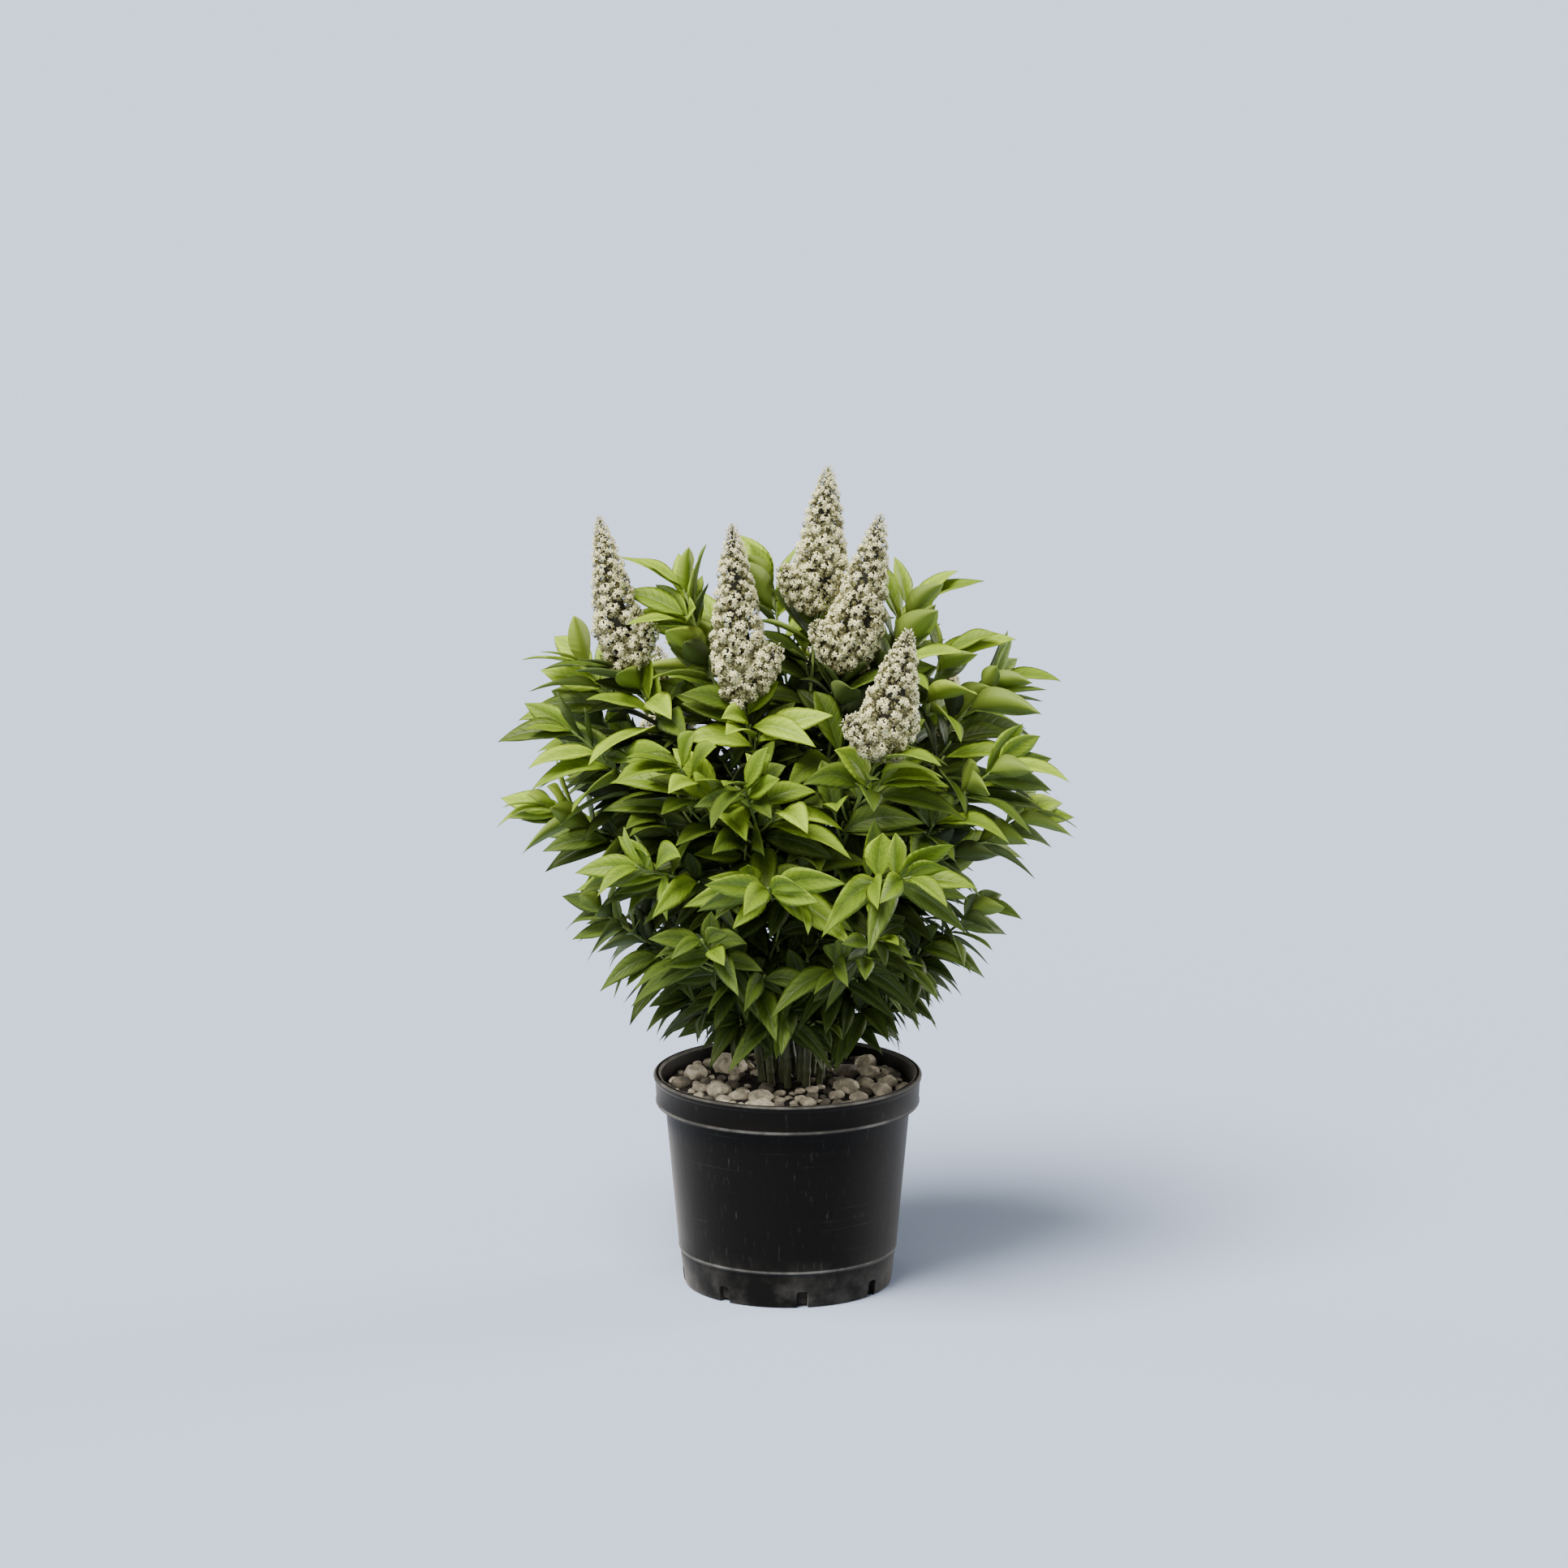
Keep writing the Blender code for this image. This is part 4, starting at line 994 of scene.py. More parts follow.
def pot_outline(pot):
    """The wall's outline as (radius, height) pairs, down the outside, over the underside and up the inside."""
    height, rim = pot.height, pot.rim_radius
    collar_foot = height - COLLAR_HEIGHT
    inner = rim - LIP_WIDTH
    lip_round = 0.0030
    outline = []
    for step in range(13):
        turn = math.pi * (0.5 - step / 24)
        outline.append((rim - lip_round + lip_round * math.cos(turn), height - lip_round + lip_round * math.sin(turn)))
    outline += [
        (rim - 0.0006, height - 0.0058),
        (rim - 0.0017, height - 0.0070),
        (rim - 0.0019, height - 0.0078),
        (COLLAR_FOOT_RADIUS + 0.0004, collar_foot + 0.0050),
        (COLLAR_FOOT_RADIUS + 0.0010, collar_foot + 0.0034),
        (COLLAR_FOOT_RADIUS + 0.0010, collar_foot + 0.0014),
        (COLLAR_FOOT_RADIUS + 0.0004, collar_foot + 0.0004),
        (COLLAR_FOOT_RADIUS - 0.0010, collar_foot),
        (BODY_TOP_RADIUS + 0.0030, collar_foot - 0.0002),
        (BODY_TOP_RADIUS + 0.0008, collar_foot - 0.0008),
        (BODY_TOP_RADIUS, collar_foot - 0.0030),
    ]
    steps = 10
    for step in range(1, steps):
        share = step / steps
        outline.append((
            BODY_TOP_RADIUS + (GROOVE_RADIUS + 0.0016 - BODY_TOP_RADIUS) * share,
            collar_foot - 0.0030 + (GROOVE_HEIGHT + 0.0060 - collar_foot + 0.0030) * share,
        ))
    outline += [
        (GROOVE_RADIUS + 0.0016, GROOVE_HEIGHT + 0.0052),
        (GROOVE_RADIUS + 0.0018, GROOVE_HEIGHT + 0.0030),
        (GROOVE_RADIUS + 0.0012, GROOVE_HEIGHT + 0.0014),
        (GROOVE_RADIUS - 0.0003, GROOVE_HEIGHT + 0.0002),
        (GROOVE_RADIUS - 0.0006, GROOVE_HEIGHT - 0.0010),
        (GROOVE_RADIUS - 0.0004, GROOVE_HEIGHT - 0.0030),
        (FOOT_RADIUS + 0.0006, 0.0060),
        (FOOT_RADIUS, 0.0024),
        (FOOT_RADIUS - 0.0007, 0.0007),
        (FOOT_RADIUS - 0.0022, 0),
        (FOOT_RADIUS - 0.0080, 0),
        (FOOT_RADIUS - 0.0100, 0.0010),
        (0, 0.0010),
        (0, WALL),
        (FOOT_RADIUS - WALL - 0.002, WALL),
        (FOOT_RADIUS - WALL, WALL + 0.002),
        (GROOVE_RADIUS - WALL, GROOVE_HEIGHT),
        (BODY_TOP_RADIUS - WALL, collar_foot),
        (inner - 0.0008, collar_foot + 0.004),
    ]
    for step in range(13):
        turn = math.pi * (1 - step / 24)
        outline.append((inner + lip_round + lip_round * math.cos(turn), height - lip_round + lip_round * math.sin(turn)))
    return outline


def drain_slot(turn):
    form = bmesh.new()
    bmesh.ops.create_cube(form, size=1)
    bmesh.ops.scale(form, vec=(0.018, SLOT_WIDTH, SLOT_HEIGHT * 2), verts=form.verts)
    bmesh.ops.bevel(form, geom=form.edges[:], offset=0.003, segments=3, affect="EDGES", profile=0.5)
    bmesh.ops.translate(form, vec=(FOOT_RADIUS, 0, 0), verts=form.verts)
    bmesh.ops.rotate(form, cent=(0, 0, 0), matrix=Matrix.Rotation(turn, 3, "Z"), verts=form.verts)
    return mesh_of(form, "slot")


def turned(name, outline, steps):
    form = bmesh.new()
    points = [form.verts.new((radius, 0, height)) for radius, height in outline]
    for first, second in zip(points, points[1:]):
        form.edges.new((first, second))
    bmesh.ops.spin(
        form, geom=form.verts[:] + form.edges[:], cent=(0, 0, 0), axis=(0, 0, 1), angle=math.tau, steps=steps,
        use_merge=True, use_duplicate=False,
    )
    bmesh.ops.remove_doubles(form, verts=form.verts, dist=1e-6)
    bmesh.ops.recalc_face_normals(form, faces=form.faces)
    return mesh_of(form, name)


def cut(base, cutters):
    """A mesh less some cutters."""
    whole = bpy.data.objects.new("whole", base)
    bpy.context.scene.collection.objects.link(whole)
    group = bpy.data.collections.new("cutters")
    for cutter in cutters:
        group.objects.link(bpy.data.objects.new("cutter", cutter))
    modifier = whole.modifiers.new("slots", "BOOLEAN")
    modifier.operation, modifier.operand_type, modifier.collection = "DIFFERENCE", "COLLECTION", group
    mesh = bpy.data.meshes.new_from_object(whole.evaluated_get(bpy.context.evaluated_depsgraph_get()))
    for thing in [whole, *group.objects]:
        bpy.data.objects.remove(thing)
    bpy.data.collections.remove(group)
    return mesh


def plastic(pot):
    """Black moulded plastic: a fine skin, faint drawn streaks, scuffs round the widest rings, dust at the foot, and
    pale edge lines and vertical scrapes that are partly wear, partly painted highlights.
    """
    finish = Finish("moulded_black_plastic", pot.colour, pot.roughness, Specular_IOR_Level=0.08)
    finish.feed("Specular Tint", SHEEN)
    finish.feed("Sheen Weight", 0.27)
    finish.feed("Sheen Roughness", 0.35)
    finish.feed("Sheen Tint", SHEEN)
    place = finish.place()
    skin = finish.grain(place, 520, 2)
    streaks = finish.grain(finish.stretched(place, (90, 90, 4)), 1.0, 3)
    rings = finish.grain(finish.stretched(place, (7, 7, 420)), 1.0, 4, 0.6)
    blotches = finish.grain(place, 22, 4, 0.6)
    height = finish.node("ShaderNodeSeparateXYZ", {}, {"Vector": place}, out="Z")
    foot = 1 - height.step(0.0, 0.060)
    # Pale lines along the lip, collar foot and groove: partly edge wear, partly painted highlights
    worn = 0.0
    for middle, half in WORN_AND_HIGHLIT_EDGES:
        worn = worn + (1 - (height - middle).size().step(half * 0.3, half))
    worn = worn * (0.35 + blotches.step(0.40, 0.65) * 0.65)
    scuffed = rings.step(0.60, 0.76) * blotches.step(0.45, 0.75)
    # Fine pale vertical scrapes all round: partly scratches, partly painted highlight streaks
    scrapes_and_painted_streaks = finish.grain(finish.stretched(place, (420, 420, 45)), 1.0, 3, 0.6).step(0.60, 0.74)
    dust_wear_and_painted_highlights = foot * blotches.step(0.40, 0.80) * 0.40 + scuffed * 0.16 + worn * 0.75
    dust_wear_and_painted_highlights = (dust_wear_and_painted_highlights + scrapes_and_painted_streaks * (0.03 + blotches.step(0.40, 0.70) * 0.12)).held()
    finish.feed("Base Color", finish.mix(dust_wear_and_painted_highlights, tuple(pot.colour), tuple(pot.dust)))
    finish.feed("Roughness", (pot.roughness + streaks * 0.14 + skin * 0.10 + dust_wear_and_painted_highlights * 0.35).held())
    finish.bump(skin * 0.5 + rings * 0.35 + streaks * 0.5, 0.00035, 0.8)
    return finish.material


class LAUREL_OT_pot(bpy.types.Operator):
    """Make the nursery pot with its rolled rim, collar, groove and drain slots"""

    bl_idname = "laurel.make_pot"
    bl_label = "Pot"

    def execute(self, context):
        pot = settings().pot
        shell = turned("pot_wall", pot_outline(pot), POT_STEPS)
        slots = [drain_slot(SLOT_FIRST_ANGLE + math.tau * i / SLOT_COUNT) for i in range(SLOT_COUNT)]
        mesh = cut(shell, slots)
        mesh.shade_smooth()
        mesh.set_sharp_from_angle(angle=math.radians(38))
        show("nursery_pot", mesh, "pot", ["pot"], plastic(pot))
        return {"FINISHED"}


# Soil and stones


def soil_top(x, y):
    """Height of the compost: about the height where the canes stand, crumbly all over, and lower at the wall."""
    reach = math.hypot(x, y)
    crumbs = noise.fractal(Vector((x, y, 0)) * 95, 0.7, 2.1, 4) * 0.0022
    lumps = noise.noise(Vector((x, y, 3)) * 34) * 0.0024
    edge = max(0.0, (reach - 0.105) / 0.025)
    return SOIL_HEIGHT - 0.0015 + crumbs + lumps - 0.004 * edge**2


def wall_radius(height):
    """The pot's inner wall less a gap."""
    rows = (
        (WALL, FOOT_RADIUS - WALL - 0.002),
        (GROOVE_HEIGHT, GROOVE_RADIUS - WALL),
        (POT_HIGH.z - COLLAR_HEIGHT, BODY_TOP_RADIUS - WALL),
        (POT_HIGH.z - COLLAR_HEIGHT + 0.004, settings().pot.rim_radius - LIP_WIDTH - 0.0008),
    )
    return between(rows, height) - GAP * 2


def compost_mesh():
    """A block that fills the pot, with a fine uneven top."""
    rings, sides = 84, 200
    pile = Pile()
    points = [(0, 0, soil_top(0, 0))]
    for ring in range(1, rings + 1):
        for side in range(sides):
            turn = math.tau * (side + 0.5 * (ring % 2)) / sides
            reach = wall_radius(SOIL_HEIGHT) * ring / rings
            x, y = reach * math.cos(turn), reach * math.sin(turn)
            points.append((x, y, soil_top(x, y)))
    for height in (POT_HIGH.z - COLLAR_HEIGHT, GROOVE_HEIGHT, WALL + GAP):
        for side in range(sides):
            turn = math.tau * side / sides
            points.append((wall_radius(height) * math.cos(turn), wall_radius(height) * math.sin(turn), height))
    points.append((0, 0, WALL + GAP))
    chart = np.array([(x / 0.3 + 0.5, y / 0.3 + 0.5) for x, y, _ in points])
    around = np.arange(sides)
    after = (around + 1) % sides
    top = np.stack([np.zeros(sides, int), 1 + around, 1 + after], 1)
    last = 1 + (rings + 2) * sides
    bottom = np.stack([np.full(sides, last + sides), last + after, last + around], 1)
    pile.add(points, (top, 0, chart), (ring_faces(rings + 3, sides) + 1, 0, chart), (bottom, 0, chart))
    return pile.mesh("compost")


def compost_finish(soil):
    """Moist compost: dark crumbs with paler fibres between."""
    finish = Finish("moist_compost", soil.compost, 0.93)
    place = finish.place()
    crumbs = finish.cells(place, 420)
    fibres = finish.grain(finish.stretched(place, (1, 1, 1)), 700, 5, 0.7)
    damp = finish.grain(place, 38, 3)
    shade = finish.mix((fibres.step(0.48, 0.70) * 0.6).held(), tuple(soil.compost), scaled(soil.compost, 3.0))
    finish.feed("Base Color", finish.mix((crumbs.step(0.0, 0.6) * 0.5 * damp).held(), shade, scaled(soil.compost, 0.3)))
    finish.feed("Roughness", (0.80 + damp * 0.18).held())
    finish.bump(crumbs * 0.8 + fibres * 0.5, 0.0012)
    return finish.material


def stone_points(draw, subdivisions, size, roughness):
    """A worn stone: a ball pushed in and out by slow noise."""
    form = bmesh.new()
    bmesh.ops.create_icosphere(form, subdivisions=subdivisions, radius=1)
    shift = Vector([draw.uniform(0, 50) for _ in range(3)])
    for vert in form.verts:
        swell = noise.noise(vert.co * 1.1 + shift) * roughness
        swell += noise.noise(vert.co * 3.2 + shift) * roughness * 0.35
        vert.co = vert.co * (1 + swell)
    points = np.array([v.co for v in form.verts]) * np.array(size)
    faces = np.array([[v.index for v in f.verts] for f in form.faces])
    form.free()
    return points, faces


def add_stone(pile, draw, place, size, turn, subdivisions, roughness, finish=0):
    points, faces = stone_points(draw, subdivisions, size, roughness)
    tilt = Quaternion((draw.uniform(-1, 1), draw.uniform(-1, 1), 0.2), draw.uniform(-0.25, 0.25)).normalized()
    spin = (Quaternion(UP, turn) @ tilt).to_matrix()
    placed = points @ np.array(spin).T + np.array(place)
    chart = np.stack([0.5 + placed[:, 0] / 0.3, 0.5 + placed[:, 1] / 0.3], 1)
    pile.add(placed, (faces, finish, chart))


def pebble_finish(name, colour, dark):
    """Weathered stone: blotches and fine pits."""
    finish = Finish(name, colour, 0.82)
    place = finish.place()
    blotches = finish.grain(place, 130, 4, 0.6)
    specks = finish.cells(place, 900)
    tone = finish.mix(blotches.step(0.38, 0.66), tuple(dark), tuple(colour))
    finish.feed("Base Color", finish.mix((1 - specks.step(0.05, 0.35)) * 0.55, tone, scaled(dark, 0.6)))
    finish.feed("Roughness", (0.70 + blotches * 0.25).held())
    finish.bump(blotches * 0.6 + specks * 0.5, 0.0007)
    return finish.material


class LAUREL_OT_soil(bpy.types.Operator):
    """Fill the pot with compost and scatter pebbles over it"""

    bl_idname = "laurel.make_soil"
    bl_label = "Soil"

    def execute(self, context):
        soil = settings().soil
        show("compost", compost_mesh(), "soil", ["soil"], compost_finish(soil))
        finishes = (
            pebble_finish("pale_pebble", soil.pebble, scaled(soil.pebble, 0.5)),
            pebble_finish("dark_pebble", soil.dark_pebble, scaled(soil.dark_pebble, 0.45)),
        )
        large, small = Pile(), Pile()
        for index, stone in enumerate(STONES):
            draw = seeded("stone", index)
            place = (stone.across, stone.depth, SOIL_HEIGHT + stone.radius * STONE_LIFT)
            size = (stone.radius * STONE_LENGTH, stone.radius * STONE_WIDTH, stone.radius * stone.squash)
            add_stone(large, draw, place, size, stone.turn, 4, 0.22)
        names = [f"stone_{i + 1}" for i in range(len(STONES))]
        show("large_stones", large.mesh("large_stones"), "stone", names, *finishes[:1])
        feet = [limb.foot for limb in grown()[0].values()]
        taken = [(stone.across, stone.depth, stone.radius) for stone in STONES]
        taken += [(foot.x, foot.y, CANE_FOOT_THICKNESS + 0.001) for foot in feet]
        draw = seeded("pebbles")
        placed = 0
        for _ in range(soil.pebble_count * 30):
            if placed >= soil.pebble_count:
                break
            radius = 0.0034 + 0.0092 * draw.random() ** 1.25
            turn, reach = draw.uniform(0, math.tau), math.sqrt(draw.random()) * (0.1285 - radius)
            x, y = reach * math.cos(turn), reach * math.sin(turn)
            if any((x - a) ** 2 + (y - b) ** 2 < ((radius + r) * 0.93) ** 2 for a, b, r in taken):
                continue
            taken.append((x, y, radius))
            size = (radius * draw.uniform(0.98, 1.25), radius, radius * draw.uniform(0.62, 0.86))
            place = (x, y, soil_top(x, y) + radius * draw.uniform(0.0, 0.3))
            kind = 0 if draw.random() < 0.66 else 1
            add_stone(small, draw, place, size, draw.uniform(0, math.tau), 2, 0.28, kind)
            placed += 1
        show("small_pebbles", small.mesh("small_pebbles"), "stone", [], *finishes)
        return {"FINISHED"}


# Canes and twigs


def bark_finish(name, colour, dark, scale):
    """Young bark: streaked along the cane, with small pale pores."""
    finish = Finish(name, colour, 0.6)
    place = finish.place()
    streaks = finish.grain(finish.stretched(place, (scale, scale, scale * 0.12)), 1.0, 4, 0.6)
    pores = finish.cells(finish.stretched(place, (1, 1, 0.6)), scale * 0.9)
    tone = finish.mix(streaks.step(0.35, 0.65), tuple(dark), tuple(colour))
    finish.feed("Base Color", finish.mix((1 - pores.step(0.08, 0.16)) * 0.6, tone, scaled(colour, 2.2)))
    finish.feed("Roughness", (0.5 + streaks * 0.3).held())
    finish.bump(streaks * 0.7 - pores.step(0.08, 0.20) * 0.3, 0.0006)
    return finish.material


class LAUREL_OT_canes(bpy.types.Operator):
    """Raise the canes from the soil and carry them on as stems and twigs"""

    bl_idname = "laurel.make_canes"
    bl_label = "Canes and twigs"

    def execute(self, context):
        look = settings().cane
        limbs, masses = grown()
        bark = bark_finish("cane_bark", look.bark, scaled(look.bark, 0.4), 260)
        shoot = bark_finish("green_shoot", look.shoot, scaled(look.shoot, 0.5), 340)
        canes, twigs = Pile(), Pile()
        for name, limb in limbs.items():
            draw = seeded(name, "nodes")
            joints = [draw.uniform(0.02, 0.06) + 0.052 * i + draw.uniform(-0.01, 0.01) for i in range(6)]

            def relief(share, side, joints=joints, name=name):
                knot = max(math.exp(-(((share - joint) / 0.0055) ** 2)) for joint in joints)
                ridge = noise.noise(Vector((side * 1.7, share * 60, len(name)))) * 0.06
                return knot * 0.22 + ridge

            add_tube(canes, limb, 70, 12, 0, 0.0, CANE_FORK, relief, CANE_FOOT_THICKNESS - CANE_THICKNESS)
        for mass in masses:
            for order, (limb, _) in enumerate(mass.twigs):
                add_tube(twigs, limb, 22 if order == 0 else 12, 6)
            for limb, _ in mass.fine_twigs:
                add_tube(twigs, limb, 7, 5)
        show("canes", canes.mesh("canes"), "cane", [f"cane_{name}" for name in limbs], bark)
        show("twigs", twigs.mesh("twigs"), "cane", [f"foliage_{mass.name}" for mass in masses], shoot)
        return {"FINISHED"}


# Leaves


UPPER_SHARE = 0.72  # of the chart's height that the upper side takes
OUTLINE_PLACES, OUTLINE_WIDTHS = (np.array(row) for row in zip(*LEAF_OUTLINE))
Blade = namedtuple("Blade", "rows columns along upper rib fans fan_rib lower low_fans chart low_chart")


def blade(count, columns):
    """A leaf's grid: rows lie along the side veins, so they run forward from the rib to the edge."""
    columns, rows = np.array(columns), np.arange(1, count) * (BLADE_ROWS // count)
    base = 0.012 + 0.985 * (rows / BLADE_ROWS) ** 1.05
    slant = VEIN_SLANT * np.minimum(1, rows / 4) * np.minimum(1, (BLADE_ROWS - rows) / 3)
    along = base[:, None] + slant[:, None] * np.abs(columns)[None, :] * (1 - base[:, None])
    return Blade(rows, columns, along, *blade_faces(len(rows), len(columns)), *blade_charts(rows, columns))


def blade_faces(rows, width):
    """Faces of the upper side by strip, and of the underside, which shares the edge with it."""
    root, tip, ribs = rows * width, rows * width + 1, rows * width + 2
    row, column = np.meshgrid(np.arange(rows - 1), np.arange(width - 1), indexing="ij")
    a = row * width + column
    upper = np.stack([a, a + 1, a + width + 1, a + width], -1).reshape(-1, 4)
    rib = (column == width // 2 - 1).ravel()
    fans, fan_rib = [], []
    last = (rows - 1) * width
    for c in range(width - 1):
        fans += [(root, c + 1, c), (last + c, last + c + 1, tip)]
        fan_rib += [c == width // 2 - 1] * 2
    lower, low_fans = [], []
    for r in range(rows - 1):
        left, right = r * width, r * width + width - 1
        lower += [(left, left + width, ribs + r + 1, ribs + r), (ribs + r, ribs + r + 1, right + width, right)]
    low_fans += [(root, 0, ribs), (root, ribs, width - 1)]
    low_fans += [(last, tip, ribs + rows - 1), (ribs + rows - 1, tip, last + width - 1)]
    return upper, rib, np.array(fans), np.array(fan_rib), np.array(lower), np.array(low_fans)


def blade_charts(rows, columns):
    """Where each point lies on the chart, for the upper side and for the underside."""
    grid, width = len(rows) * len(columns), len(columns)
    upper = np.zeros((grid + 2 + len(rows), 2))
    upper[:grid, 0] = np.repeat(rows / BLADE_ROWS, width)
    upper[:grid, 1] = np.tile((columns + 1) / 2 * UPPER_SHARE, len(rows))
    upper[grid] = (0, UPPER_SHARE / 2)
    upper[grid + 1] = (1, UPPER_SHARE / 2)
    lower = upper.copy()
    lower[:grid, 1] = np.tile(0.76 + (columns + 1) / 2 * 0.24, len(rows))
    lower[grid] = (0, 0.88)
    lower[grid + 1] = (1, 0.88)
    lower[grid + 2 :, 0] = rows / BLADE_ROWS
    lower[grid + 2 :, 1] = 0.88
    return upper, lower


VEINED_BLADE = blade(BLADE_ROWS, BLADE_COLUMNS)
PLAIN_BLADE = blade(PLAIN_BLADE_ROWS, PLAIN_BLADE_COLUMNS)


def add_leaf(pile, leaf, draw, form):
    """One leaf: a folded, arched and slightly waved blade with sunken veins, a ridge below and a short stalk."""
    width = blade_width(leaf) / 2
    along, face = np.array(leaf.along), np.array(leaf.face)
    root, up = np.array(leaf.root), np.array(UP)
    across = np.cross(along, face)
    across /= np.linalg.norm(across)
    sickle, wave, phase = draw.uniform(-0.05, 0.05), draw.uniform(0.03, 0.11), draw.uniform(0, math.tau)
    twist, fold = draw.uniform(-0.25, 0.25), draw.uniform(0.34, 0.50)
    roll = fold - 0.20
    tip_drop = draw.uniform(0.0, 0.05)

    def at(share, side, lift):
        """Points at places along the leaf, sideways in half widths, and lifted off the blade in metres."""
        reach = (leaf.length * share)[..., None]
        centre = root + along * reach - up * (reach * leaf.droop * share[..., None])
        heading = along - up * (2 * leaf.droop * share)[..., None]
        heading /= np.linalg.norm(heading, axis=-1, keepdims=True)
        above = np.cross(across, heading)
        turn = (twist * share)[..., None]
        sideways = across * np.cos(turn) + above * np.sin(turn)
        normal = above * np.cos(turn) - across * np.sin(turn)
        half = (np.interp(share, OUTLINE_PLACES, OUTLINE_WIDTHS) * width)[..., None]
        rise = fold * np.abs(side) - roll * side**2 + wave * side**2 * np.sin(phase + 9 * share)
        bend = leaf.length * (sickle * share**2)
        sag = leaf.length * tip_drop * share**4
        return (
            centre + sideways * (half * side[..., None] + bend[..., None])
            + normal * (half * rise[..., None] + lift[..., None] - sag[..., None])
        )

    side = np.broadcast_to(form.columns, form.along.shape)
    veins = np.where(form.rows % 2 == 0, -1.0, 1.0)[:, None] * (1 - np.abs(side) ** 3) * (np.abs(side) > 0.1)
    ends = (np.minimum(form.rows, BLADE_ROWS - form.rows) / 4).clip(0, 1)[:, None]
    lift = veins * ends * leaf.length * 0.0030
    lift = lift - (np.abs(side) < 0.1) * ends * leaf.length * 0.006
    top = at(form.along, side, lift).reshape(-1, 3)
    middle = form.along[:, len(form.columns) // 2]
    ridge = -leaf.length * (0.010 + 0.016 * (1 - middle))
    ribs = at(middle, np.zeros(len(middle)), ridge)
    ends_of = at(np.array([0.0, 1.0]), np.zeros(2), np.zeros(2))
    points = np.concatenate([top, ends_of, ribs])
    pile.add(
        points,
        (form.upper, form.rib.astype(int), form.chart),
        (form.fans, form.fan_rib.astype(int), form.chart),
        (form.lower, 2, form.low_chart),
        (form.low_fans, 2, form.low_chart),
    )


def leaf_finishes(name, colour, roughness):
    """A leaf's upper side, its rib and its paler underside."""
    gloss = 0.12 if name == "deep" else 0.25
    upper = Finish(f"{name}_leaf", colour, roughness, Specular_IOR_Level=gloss)
    upper.feed("Specular Tint", LEAF_SHEEN)
    along, across = upper.chart()
    side = (across * (2 / UPPER_SHARE) - 1).size()
    vein = (along * 8.0 - side * 1.1).fraction() - 0.5
    vein = vein.size() * 2
    hatch = vein.step(0.80, 1.0)
    both = upper.node("ShaderNodeUVMap", {"uv_map": BAKE_CHART}, {})
    fine = upper.grain(upper.stretched(both, (5, 42, 1)), 1.0, 4, 0.65)
    # Painted shade: the blade darker towards its folded midrib and its base, with fine dark streaks; the dark lines
    # along the side veins are partly the veins' own colour
    shade = (1 - side.step(0.0, 0.75)) * 0.58 + hatch * 0.20 + fine.step(0.40, 0.62) * 0.58
    shade = shade * (1.15 - along * 0.72)
    dark = (colour[0] * 0.28, colour[1] * 0.36, colour[2] * 0.4)
    upper.feed("Base Color", upper.mix(shade.held(), tuple(colour), dark))
    upper.feed("Roughness", (roughness + fine * 0.16 + hatch * 0.08).held())
    upper.bump(fine * 0.4 - hatch * 0.6, 0.0005)
    # The midrib, sunk in its groove, is darker than the blade: painted shade
    rib = speckled(f"{name}_rib", scaled(colour, 0.64), roughness + 0.1, 420)
    under_colour = (colour[0] * 0.72 + 0.004, colour[1] * 0.70 + 0.006, colour[2] * 0.8 + 0.003)
    under = Finish(f"{name}_underside", under_colour, 0.68)
    low = under.grain(under.stretched(under.node("ShaderNodeUVMap", {"uv_map": BAKE_CHART}, {}), (60, 60, 1)), 1.0, 3)
    under.feed("Base Color", under.mix(low.step(0.4, 0.7) * 0.3, under_colour, scaled(under_colour, 0.6)))
    return upper.material, rib, under.material


def spray_tones(leaves):
    """Which green each leaf has, partly painted light and shade: sprays open to the sky are bright and young, shaded
    ones are deep, and only leaves high in the crown are young.
    """
    shares, sprays = openness(leaves), {}
    for leaf, share in zip(leaves, shares):
        sprays.setdefault((leaf.mass.name, leaf.order), []).append(share)
    tones = []
    for leaf, share in zip(leaves, shares):
        spray = sprays[leaf.mass.name, leaf.order]
        tone = (share + sum(spray) / len(spray)) / 2
        tone += seeded(leaf.mass.name, leaf.order, "tone").uniform(-0.11, 0.11)
        first = 0 if height_above_rim(spine(leaf, 0.6)) > PALEST_GREEN_ABOVE else 1
        tones.append(next((i for i, least in enumerate(LEAST_SKY_OF_LIGHTER_GREENS) if i >= first and tone > least), 3))
    return tones


class LAUREL_OT_leaves(bpy.types.Operator):
    """Grow the leaves of every mass, spray by spray"""

    bl_idname = "laurel.make_leaves"
    bl_label = "Leaves"

    def execute(self, context):
        look = settings().leaf
        masses = grown()[1]
        piles = [Pile() for _ in GREENS_LIT_TO_SHADED]
        leaves = [leaf for mass in masses for leaf in chain(mass.leaves, mass.fine_leaves)]
        for index, (leaf, tone) in enumerate(zip(leaves, spray_tones(leaves))):
            form = PLAIN_BLADE if GREENS_LIT_TO_SHADED[tone] == "deep" else VEINED_BLADE
            add_leaf(piles[tone], leaf, seeded(leaf.mass.name, leaf.order, index, "shape"), form)
        nodes = [f"foliage_{mass.name}" for mass in masses]
        for name, pile in zip(GREENS_LIT_TO_SHADED, piles):
            colour = tuple(getattr(look, name))
            mesh = pile.mesh(f"{name}_leaves")
            show(f"{name}_leaves", mesh, "foliage", nodes, *leaf_finishes(name, colour, look.roughness))
        return {"FINISHED"}


# Blossom


def spike_fullness(share, taper):
    """A spike's half width at a share of its height: fullest at a third, then drawn out to a point."""
    return math.sin(math.pi * min(share + 0.16, 0.5)) * (1 - 1.25 * max(share - 0.2, 0)) ** taper


